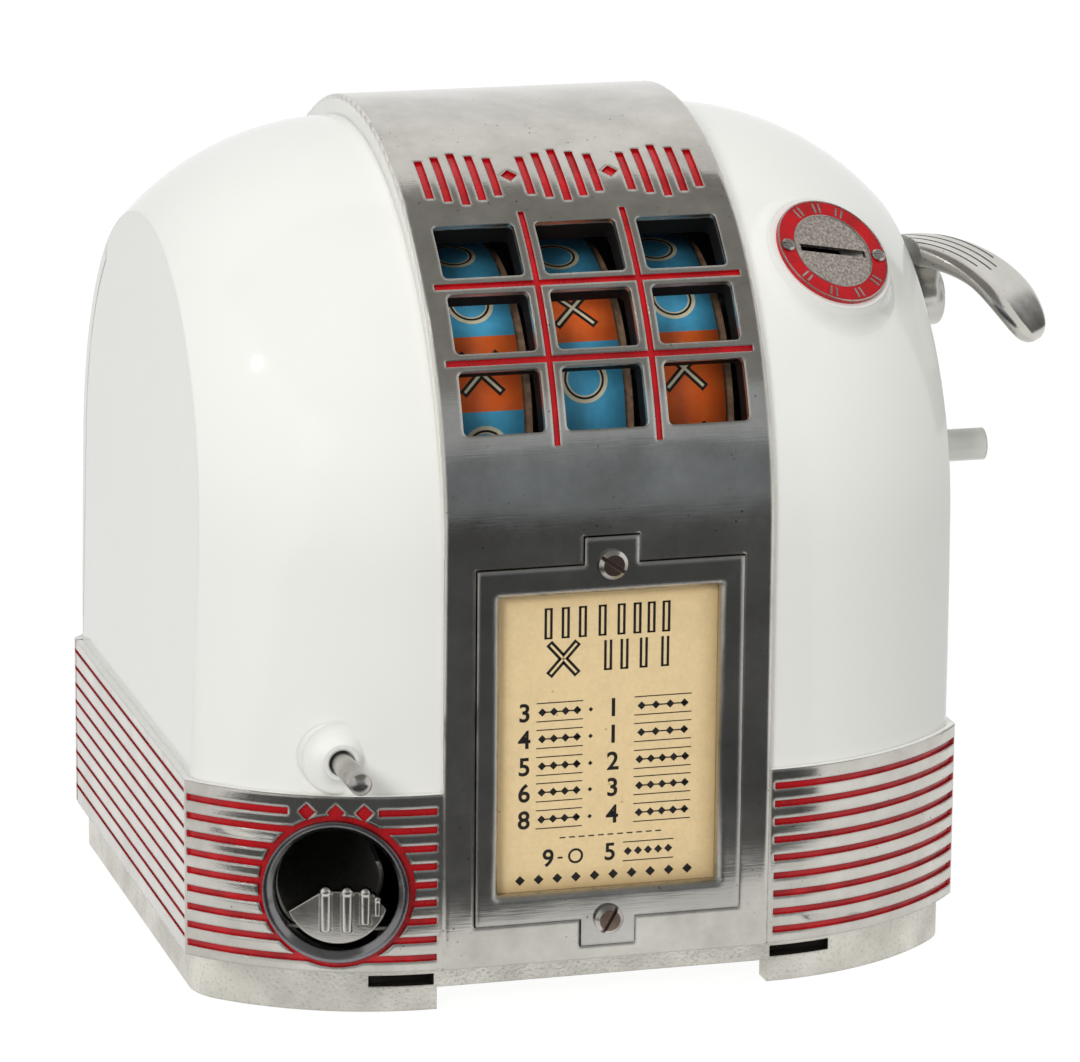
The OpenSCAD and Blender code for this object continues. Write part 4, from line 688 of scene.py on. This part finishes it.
def inked_patch(side, angle, lift, ink, outline):
    """A thin patch of ink bent round the strip, from rows of points across it."""
    mesh = bpy.data.meshes.new("ink")
    shape = bmesh.new()
    rows = [[shape.verts.new(on_strip(REEL_X[side] + x, s, angle, lift)) for x, s in row] for row in outline]
    for low, high in zip(rows, rows[1:]):
        for i in range(len(low) - 1):
            face = shape.faces.new((low[i], low[i + 1], high[i + 1], high[i]))
            face.material_index = ink
            face.smooth = True
    shape.normal_update()
    shape.to_mesh(mesh)
    shape.free()
    patch = bpy.data.objects.new("ink", mesh)
    bpy.context.scene.collection.objects.link(patch)
    for key in INKS:
        mesh.materials.append(MATERIALS[key])
    return patch


def ring_mark(side, angle):
    """A cream ring with a black line in it."""
    made = []
    for inner, outer, lift, ink in ((4.35, 6.35, 0.02, CREAM), (4.75, 5.35, 0.04, BLACK)):
        rows = []
        for k in range(49):
            a = 2.0 * math.pi * k / 48.0
            rows.append([(r * math.cos(a), r * math.sin(a)) for r in (outer, inner)])
        made.append(inked_patch(side, angle, lift, ink, rows))
    return made


def cross_mark(side, angle):
    """Two black strokes with a light line along each."""
    made = []
    for lean in (-1.0, 1.0):
        direction = Vector((lean * 0.70, 0.714))
        across = Vector((direction.y, -direction.x)) * lean
        for half, reach, lift, ink in ((1.15, 7.6, 0.03, BLACK), (0.38, 6.9, 0.06, CREAM)):
            rows = []
            for k in range(13):
                s = -reach + 2.0 * reach * k / 12.0
                middle = direction * s
                a, b = middle - across * half, middle + across * half
                rows.append([tuple(a), tuple(b)] if lean > 0 else [tuple(b), tuple(a)])
            made.append(inked_patch(side, angle, lift, ink, rows))
    return made


def reel_strips():
    """The three printed strips."""
    for side, (first, marks) in REEL_MARKS.items():
        made = [strip_shell(side)]
        for i, mark in enumerate(marks):
            angle = first - i * PANEL_TURN
            made += ring_mark(side, angle) if mark == "O" else cross_mark(side, angle)
        piece = join(made, "reel_print_" + side)
        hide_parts("reel_strip_" + side)
        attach(piece, "reel_" + side)


def reel_rims():
    """Brown fibre rim on the right of each drum, seen past the edge of the strip."""
    for side, x in REEL_X.items():
        clear_choice()
        bpy.ops.mesh.primitive_cylinder_add(vertices=96, radius=FIBRE_R / 1000.0, depth=FIBRE_W / 1000.0,
                                            location=metres(x + FIBRE_X, REEL_Y, REEL_Z),
                                            rotation=(0.0, QUARTER, 0.0), end_fill_type="NOTHING")
        rim = settle(bpy.context.object, "reel_rim_" + side, "fibre")
        modify(rim, "SOLIDIFY", thickness=FIBRE_T / 1000.0, offset=-1.0)
        smooth_by(40.0)
        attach(rim, "reel_" + side)


# lever

TURN_SIGN = -1.0         # rotate operator turns the other way about an axis
LEVER_ROOT, PADDLE_SWEEP = (99.5, -25.5, 183.3), 40.0
PADDLE_R, PADDLE_SLOPE, PADDLE_HW = 38.9, 13.0, 13.1
PADDLE_UNDER_R, PADDLE_UNDER = 33.4, (4.35, -1.4)
PADDLE_TIP, PADDLE_ROOT_HW, PADDLE_RIM_R = 68.5, 3.7, 2.3
PADDLE_END, PADDLE_LENGTH = 16.0, 63.6
# angles round the bend where a section stands: even steps from the root, then closer ones up to the tip
PADDLE_TURNS = [-27.0 + 5.0 * i for i in range(18)]
PADDLE_TURNS += [PADDLE_TIP - left for left in (8.0, 6.0, 4.5, 3.0, 1.8, 0.9, 0.3)]
ROLL_TURN = 7.0          # the last part of the pad shrinks about its rolled end, not its back
RIM_SPREAD = 2.0         # the rolled rim is this many times wider than it is deep
GROOVES_AT = (-6.3, -2.1, 2.1, 6.3)
GROOVE_HALF, GROOVE_TALL, GROOVE_UP = 0.42, 0.9, 0.35
GROOVE_START, GROOVE_SWEEP = -34.0, 70.0
LEVER_FACE_X, LEVER_HUB_R, LEVER_HUB_L, LEVER_Y, LEVER_Z = 103.5, 8.0, 13.0, -18.0, 165.0
NECK_AT, NECK_SIZE = (LEVER_FACE_X + 5.5, -19.5, 170.75), (11.0, 13.0, 11.5)
ORIGIN = (0.0, 0.0, 0.0)


def paddle_section(turn):
    """Half width and thickness of the paddle at an angle round its bend, in millimetres."""
    left = PADDLE_R * math.radians(PADDLE_TIP - turn)            # length left to the tip
    if left < PADDLE_END:
        half = PADDLE_HW * math.sqrt(1.0 - (1.0 - left / PADDLE_END) ** 2)
    else:
        narrowing = ((left - PADDLE_END) / (PADDLE_LENGTH - PADDLE_END)) ** 1.4
        half = PADDLE_HW - (PADDLE_HW - PADDLE_ROOT_HW) * narrowing
    lean = (math.sin(math.radians(turn)), math.cos(math.radians(turn)))
    dot = lean[0] * PADDLE_UNDER[0] + lean[1] * PADDLE_UNDER[1]
    under = dot + math.sqrt(dot ** 2 - PADDLE_UNDER[0] ** 2 - PADDLE_UNDER[1] ** 2 + PADDLE_UNDER_R ** 2)
    thick = max(PADDLE_R - under, 2.0 * PADDLE_RIM_R)
    rolled = RIM_SPREAD * PADDLE_RIM_R
    if left < rolled:
        thick = 2.0 * PADDLE_RIM_R * math.sqrt(1.0 - (1.0 - left / rolled) ** 2)
    return half, thick


def turn_about(bend, degrees):
    """Turns what is selected about the paddle's bend."""
    bpy.ops.transform.rotate(value=TURN_SIGN * math.radians(degrees), orient_axis="Y", center_override=bend)


def lever_paddle():
    """A rounded bar carried round the bend, widening to a round pad, with four grooves along its back."""
    bend = (PADDLE_R * math.sin(math.radians(PADDLE_SLOPE)) / 1000.0, 0.0,
            -PADDLE_R * math.cos(math.radians(PADDLE_SLOPE)) / 1000.0)
    clear_choice()
    bpy.ops.mesh.primitive_plane_add(size=0.002, rotation=(0.0, QUARTER, 0.0))
    paddle = settle(bpy.context.object, "lever_paddle", "satin")
    # section of the pad with round sides, then drawn to the root's size and taken back to the root
    half, thick = paddle_section(PADDLE_TURNS[0])
    bpy.ops.object.mode_set(mode="EDIT")
    bpy.ops.mesh.select_mode(type="FACE")
    bpy.ops.mesh.select_all(action="SELECT")
    bpy.ops.transform.resize(value=(1.0, PADDLE_HW / RIM_SPREAD, PADDLE_RIM_R), center_override=ORIGIN)
    bpy.ops.mesh.bevel(offset=0.9 * PADDLE_RIM_R / 1000.0, segments=6, affect="VERTICES")
    bpy.ops.mesh.select_all(action="SELECT")
    bpy.ops.transform.resize(value=(1.0, RIM_SPREAD * half / PADDLE_HW, thick / PADDLE_RIM_R / 2.0),
                             center_override=ORIGIN)
    bpy.ops.transform.translate(value=(bend[0], 0.0, bend[2] + (PADDLE_R - thick / 2.0) / 1000.0))
    turn_about(bend, PADDLE_TURNS[0])
    for last, turn in zip(PADDLE_TURNS, PADDLE_TURNS[1:]):
        bpy.ops.mesh.extrude_region_move()
        turn_about(bend, turn - last)
        new_half, new_thick = paddle_section(turn)
        hold = (PADDLE_R if turn < PADDLE_TIP - ROLL_TURN else PADDLE_R - PADDLE_RIM_R) / 1000.0
        across, up = math.sin(math.radians(turn)), math.cos(math.radians(turn))
        axes = ((up, 0.0, -across), (0.0, 1.0, 0.0), (across, 0.0, up))
        bpy.ops.transform.resize(value=(1.0, new_half / half, new_thick / thick), orient_type="GLOBAL",
                                 orient_matrix=axes, orient_matrix_type="GLOBAL",
                                 center_override=(bend[0] + hold * across, 0.0, bend[2] + hold * up))
        half, thick = new_half, new_thick
    close_outwards()
    modify(paddle, "SUBSURF", levels=2)
    for place in GROOVES_AT:
        groove = groove_cutter(bend, place)
        choose(paddle)
        modify(paddle, "BOOLEAN", object=groove, operation="DIFFERENCE")
        bpy.data.objects.remove(groove)
    # the sides and the underside take the darker metal, as painted shade
    paddle.data.materials.append(MATERIALS["frame"])
    for face in paddle.data.polygons:
        out = Vector((face.center.x - bend[0], 0.0, face.center.z - bend[2])).normalized()
        face.material_index = 1 if face.normal.dot(out) < 0.3 else 0
    paddle.data.transform(Matrix.Translation(Vector(LEVER_ROOT) / 1000.0)
                          @ Matrix.Rotation(math.radians(-PADDLE_SWEEP), 4, "Z"))
    edit_all()
    bpy.ops.mesh.bisect(plane_co=(LEVER_FACE_X / 1000.0, 0.0, 0.0), plane_no=(1.0, 0.0, 0.0), use_fill=True,
                        clear_inner=True)
    bpy.ops.object.mode_set(mode="OBJECT")
    smooth_by(35.0)
    # the cut end is flat and takes the sides' darker metal, painted shade, whichever of its neighbours it was
    # filled from
    for face in paddle.data.polygons:
        if abs(face.center.x * 1000.0 - LEVER_FACE_X) < INSET:
            face.material_index = 1
            face.use_smooth = False
    return paddle


def groove_cutter(bend, across):
    """A small square carried round the bend, to cut one groove."""
    clear_choice()
    bpy.ops.mesh.primitive_plane_add(size=0.002, rotation=(0.0, QUARTER, 0.0))
    cutter = settle(bpy.context.object, "groove_cutter")
    edit_all()
    bpy.ops.transform.resize(value=(1.0, GROOVE_HALF, GROOVE_TALL), center_override=ORIGIN)
    bpy.ops.transform.translate(value=(bend[0], across / 1000.0, bend[2] + (PADDLE_R + GROOVE_UP) / 1000.0))
    turn_about(bend, GROOVE_START)
    # the outer grooves end sooner, as the pad is round
    sweep = math.radians(GROOVE_SWEEP - abs(across))
    bpy.ops.mesh.spin(steps=36, angle=TURN_SIGN * sweep, center=bend, axis=(0.0, 1.0, 0.0))
    close_outwards()
    return cutter


def lever_piece():
    """Paddle, neck and hub in one casting."""
    made = [lever_paddle()]
    # the hub and the neck take the darker metal too, painted shade
    clear_choice()
    bpy.ops.mesh.primitive_cylinder_add(vertices=64, radius=LEVER_HUB_R / 1000.0, depth=LEVER_HUB_L / 1000.0,
                                        location=metres(LEVER_FACE_X + LEVER_HUB_L / 2.0, LEVER_Y, LEVER_Z),
                                        rotation=(0.0, QUARTER, 0.0))
    made.append(settle(bpy.context.object, "lever_hub", "frame"))
    clear_choice()
    bpy.ops.mesh.primitive_cube_add(size=0.001, location=metres(*NECK_AT))
    neck = bpy.context.object
    neck.scale = NECK_SIZE
    made.append(settle(neck, "lever_neck", "frame"))
    for part in made[1:]:
        choose(part)
        modify(part, "BEVEL", width=0.0012, segments=3)
        smooth_by(35.0)
    piece = join(made, "lever_casting")
    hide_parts("lever")
    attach(piece, "lever")


# plunger spring

COIL_WIRE_R, COIL_TURNS, PLUNGER_TRAVEL = 0.5, 7, 16.0


def plunger_coil():
    """Return spring of the gum plunger, built at one length; the real one closes up as the plunger goes in.
    """
    low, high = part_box("plunger_spring")
    wire = COIL_WIRE_R / 1000.0
    length = high.y - low.y
    radius = (high.x - low.x) / 2.0 - wire
    clear_choice()
    bpy.ops.mesh.primitive_circle_add(vertices=10, radius=wire, location=(radius, 0.0, 0.0),
                                      rotation=(QUARTER, 0.0, 0.0))
    coil = settle(bpy.context.object, "plunger_coil", "plated_steel")
    modify(coil, "SCREW", steps=24, render_steps=24, iterations=COIL_TURNS,
           screw_offset=(length - 2.0 * wire) / COIL_TURNS)
    edit_all()
    bpy.ops.mesh.fill_holes(sides=0)
    close_outwards()
    smooth_by(50.0)
    place = Matrix.Translation(((low.x + high.x) / 2.0, low.y + wire, (low.z + high.z) / 2.0))
    coil.data.transform(place @ Matrix.Rotation(-QUARTER, 4, "X"))
    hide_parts("plunger_spring")
    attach(coil, "cabinet")
    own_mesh(coil)


# coin entry ornament

RING_R, DISC_R, RING_T, EDGE_R = 16.2, 11.15, 1.2, 0.22
BAR_SIZE, BAR_ROUND, BAR_AT_R, BAR_SHIFT = (3.0, 0.62, 0.3), 0.1, 13.67, 3.4
BAR_ANGLES = (124.0, 97.0, 69.0, 223.0, 257.0, 290.0, 323.0)
PAD_R, PAD_FLARE, PAD_ROOT = 17.8, 2.2, 7.0
PAD_SLOPE, PAD_TURN = 47.6, 14.5
RAY_UP = 20.0            # the casting is felt for from this far above the pad
FILLET_TOP, FILLET_LEAST, FILLET_SPREAD = 0.35, 1.2, 0.9
FILLET_SINK, FILLET_BURY = 0.05, 0.6


def coin_place():
    """Place of the coin entry: its ring's middle, with the third axis out of the pad."""
    low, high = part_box("coin_entry_ring")
    return (Matrix.Translation((low + high) / 2.0) @ Matrix.Rotation(math.radians(-PAD_SLOPE), 4, "X")
            @ Matrix.Rotation(math.radians(PAD_TURN), 4, "Z") @ Matrix.Rotation(QUARTER, 4, "X"))


def coin_ring_bars():
    """Pairs of bare metal bars on the red ring, round its upper and its lower half."""
    made = []
    # both edges of the ring are bare
    for radius in (RING_R - EDGE_R, DISC_R + EDGE_R):
        clear_choice()
        bpy.ops.mesh.primitive_torus_add(major_segments=96, minor_segments=8, major_radius=radius / 1000.0,
                                         minor_radius=EDGE_R / 1000.0, location=(0.0, 0.0, RING_T / 2000.0))
        made.append(settle(bpy.context.object, "edge", "polished"))
    for angle in BAR_ANGLES:
        for shift in (-BAR_SHIFT, BAR_SHIFT):
            clear_choice()
            bpy.ops.mesh.primitive_cube_add(size=0.001)
            bar = bpy.context.object
            bar.scale = BAR_SIZE
            settle(bar, "bar", "polished")
            edit_all()
            bpy.ops.mesh.bevel(offset=BAR_ROUND / 1000.0, segments=2, affect="EDGES")
            bpy.ops.object.mode_set(mode="OBJECT")
            a = math.radians(angle + shift)
            place = metres(BAR_AT_R * math.cos(a), BAR_AT_R * math.sin(a), RING_T / 2.0)
            bar.data.transform(Matrix.Translation(place) @ Matrix.Rotation(a, 4, "Z"))
            made.append(bar)
    piece = join(made, "coin_ring_bars")
    piece.data.transform(coin_place())
    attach(piece, "cabinet")


def pad_fillet():
    """Enamel run into the corner round the coin pad, from the pad's edge down to the crowned body."""
    around, across = 96, 12
    place = coin_place() @ Matrix.Translation((0.0, 0.0, -RING_T / 2000.0))
    into = place.to_3x3() @ Vector((0.0, 0.0, -1.0))
    clear_choice()
    bpy.ops.mesh.primitive_torus_add(major_segments=around, minor_segments=across)
    piece = settle(bpy.context.object, "coin_pad_fillet", "ivory")

    def drop(turn, radius):
        """Depth of the casting under the pad's face, straight below a place beside it."""
        above = place @ (Vector((radius * math.cos(turn), radius * math.sin(turn), RAY_UP)) / 1000.0)
        found, where = node["front_casting"].ray_cast(above, into)[:2]
        return (where - above).length * 1000.0 - RAY_UP if found else PAD_ROOT

    for i in range(around):
        turn = 2.0 * math.pi * i / around
        depth = drop(turn, PAD_R + PAD_FLARE)
        reach = PAD_R + PAD_FLARE + max(FILLET_LEAST, FILLET_SPREAD * depth)
        top, foot = (PAD_R, FILLET_TOP), (PAD_R + PAD_FLARE * 0.4, depth)
        end = (reach, drop(turn, reach) + FILLET_SINK)
        profile = []
        for j in range(across - 2):
            t = j / (across - 3.0)
            profile.append([(1.0 - t) ** 2 * a + 2.0 * t * (1.0 - t) * b + t ** 2 * c
                            for a, b, c in zip(top, foot, end)])
        # closed inside the casting's wall
        profile += [(reach - FILLET_BURY, end[1] + FILLET_BURY), (PAD_R - FILLET_BURY, depth + FILLET_BURY)]
        for j, (radius, deep) in enumerate(profile):
            local = Vector((radius * math.cos(turn), radius * math.sin(turn), -deep)) / 1000.0
            piece.data.vertices[i * across + j].co = place @ local
    edit_all()
    close_outwards()
    smooth_by(60.0)
    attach(piece, "cabinet")


# stage, in metres

FLOOR_SIZE, FLOOR_DROP = 14.0, 0.0002
FLOOR_WHITE, FLOOR_SHARE = 1.15, 0.8
FILL = 0.47              # strength of the white surround on matt surfaces
# dark cards: floor card, low wall, high wall, overhead and right rear, each at its own grey
CARD_CORNERS = ((-0.235, -0.107, 0.003), (0.15, -0.2085, 0.003), (1.45, -2.2, 0.003), (-1.5, -2.2, 0.003),
                (1.45, -2.2, 0.75), (-1.5, -2.2, 0.75), (1.45, -2.2, 1.5), (-1.5, -2.2, 1.5),
                (1.5, 0.36, 1.5), (-1.3, 0.36, 1.5),
                (2.07, 0.41, 0.04), (1.78, 1.08, 0.04), (1.78, 1.08, 0.86), (2.07, 0.41, 0.86))
CARD_FACES = ((0, 1, 2, 3), (3, 2, 4, 5), (5, 4, 6, 7), (7, 6, 8, 9), (10, 11, 12, 13))
CARD_GREYS = (("#e2e4e6", 0.125), ("#d4dde6", 0.36), ("#dde2e8", 0.66), ("#e6e4e0", 0.36), ("#e2e4e6", 0.12))
# name, place in metres, side in metres, power in watts, and whether metal shows it
LAMPS = (
    ("key_softbox", (-1.05, -1.50, 0.92), 0.5, 14.6, False),
    ("top_softbox", (0.25, -0.35, 2.00), 0.8, 10.5, False),
    ("spark", (-1.66, -0.65, 1.55), 0.13, 0.7, True),
)


def seen_as_such(tree):
    """One where the camera, a reflection or a clear sheet shows a thing, and nought where it only lights."""
    path = add(tree, "LightPath").outputs
    seen = add(tree, "Math", {0: path["Is Camera Ray"], 1: path["Is Glossy Ray"]}, operation="MAXIMUM")
    return add(tree, "Math", {0: seen, 1: path["Is Transmission Ray"]}, operation="MAXIMUM")


def stage_floor():
    """A white sweep that keeps the object's shadow and shows white to the camera and in the metal."""
    clear_choice()
    bpy.ops.mesh.primitive_plane_add(size=FLOOR_SIZE, location=(0.0, 0.0, -FLOOR_DROP))
    floor = bpy.context.object
    floor.name = "floor"
    made, tree, shader = start("white_paper_sweep", Roughness=0.9, Base_Color=linear("#dcdcda"))[:3]
    part = add(tree, "Math", {0: seen_as_such(tree), 1: FLOOR_SHARE}, operation="MULTIPLY")
    white = add(tree, "Emission", {"Color": grey(1.0), "Strength": FLOOR_WHITE})
    mixed = add(tree, "MixShader", {0: part, 1: shader, 2: white})
    feed(tree.nodes["Material Output"], {"Surface": mixed})
    floor.data.materials.append(made)


def stage_flag():
    """Dark studio cards in front and overhead, seen only in reflections, as round the real object."""
    mesh = bpy.data.meshes.new("studio_cards")
    mesh.from_pydata(CARD_CORNERS, [], CARD_FACES)
    card = bpy.data.objects.new("studio_cards", mesh)
    bpy.context.scene.collection.objects.link(card)
    for i, (tone, level) in enumerate(CARD_GREYS):
        made = bpy.data.materials.new("studio_card_%d" % i)
        made.use_nodes = True
        tree = made.node_tree
        tree.nodes.remove(tree.nodes["Principled BSDF"])
        glow = add(tree, "Emission", {"Color": linear(tone), "Strength": level})
        feed(tree.nodes["Material Output"], {"Surface": glow})
        mesh.materials.append(made)
        mesh.polygons[i].material_index = i
    card.visible_camera = False
    card.visible_diffuse = False
    card.visible_shadow = False
    card.visible_transmission = False


def light_studio():
    """A white surround, two soft lamps that metal doesn't show, and a small one that it does."""
    world = bpy.data.worlds.new("white_studio")
    bpy.context.scene.world = world
    world.use_nodes = True
    tree = world.node_tree
    strength = add(tree, "MapRange", {"Value": seen_as_such(tree), "To Min": FILL, "To Max": 1.0})
    feed(tree.nodes["Background"], {"Color": grey(1.0), "Strength": strength})
    for name, place, size, power, mirrored in LAMPS:
        bpy.ops.object.light_add(type="AREA", location=place)
        lamp = bpy.context.object
        lamp.name = name
        lamp.data.size = size
        lamp.data.energy = power
        lamp.visible_glossy = mirrored
        aim = Vector((0.0, 0.0, 0.11)) - Vector(place)
        lamp.rotation_euler = aim.to_track_quat("-Z", "Y").to_euler()
    bpy.context.scene.view_settings.view_transform = "Standard"


place_camera()
finish_solids()
card_print()
reel_strips()
reel_rims()
lever_piece()
plunger_coil()
coin_ring_bars()
pad_fillet()
stage_floor()
stage_flag()
light_studio()
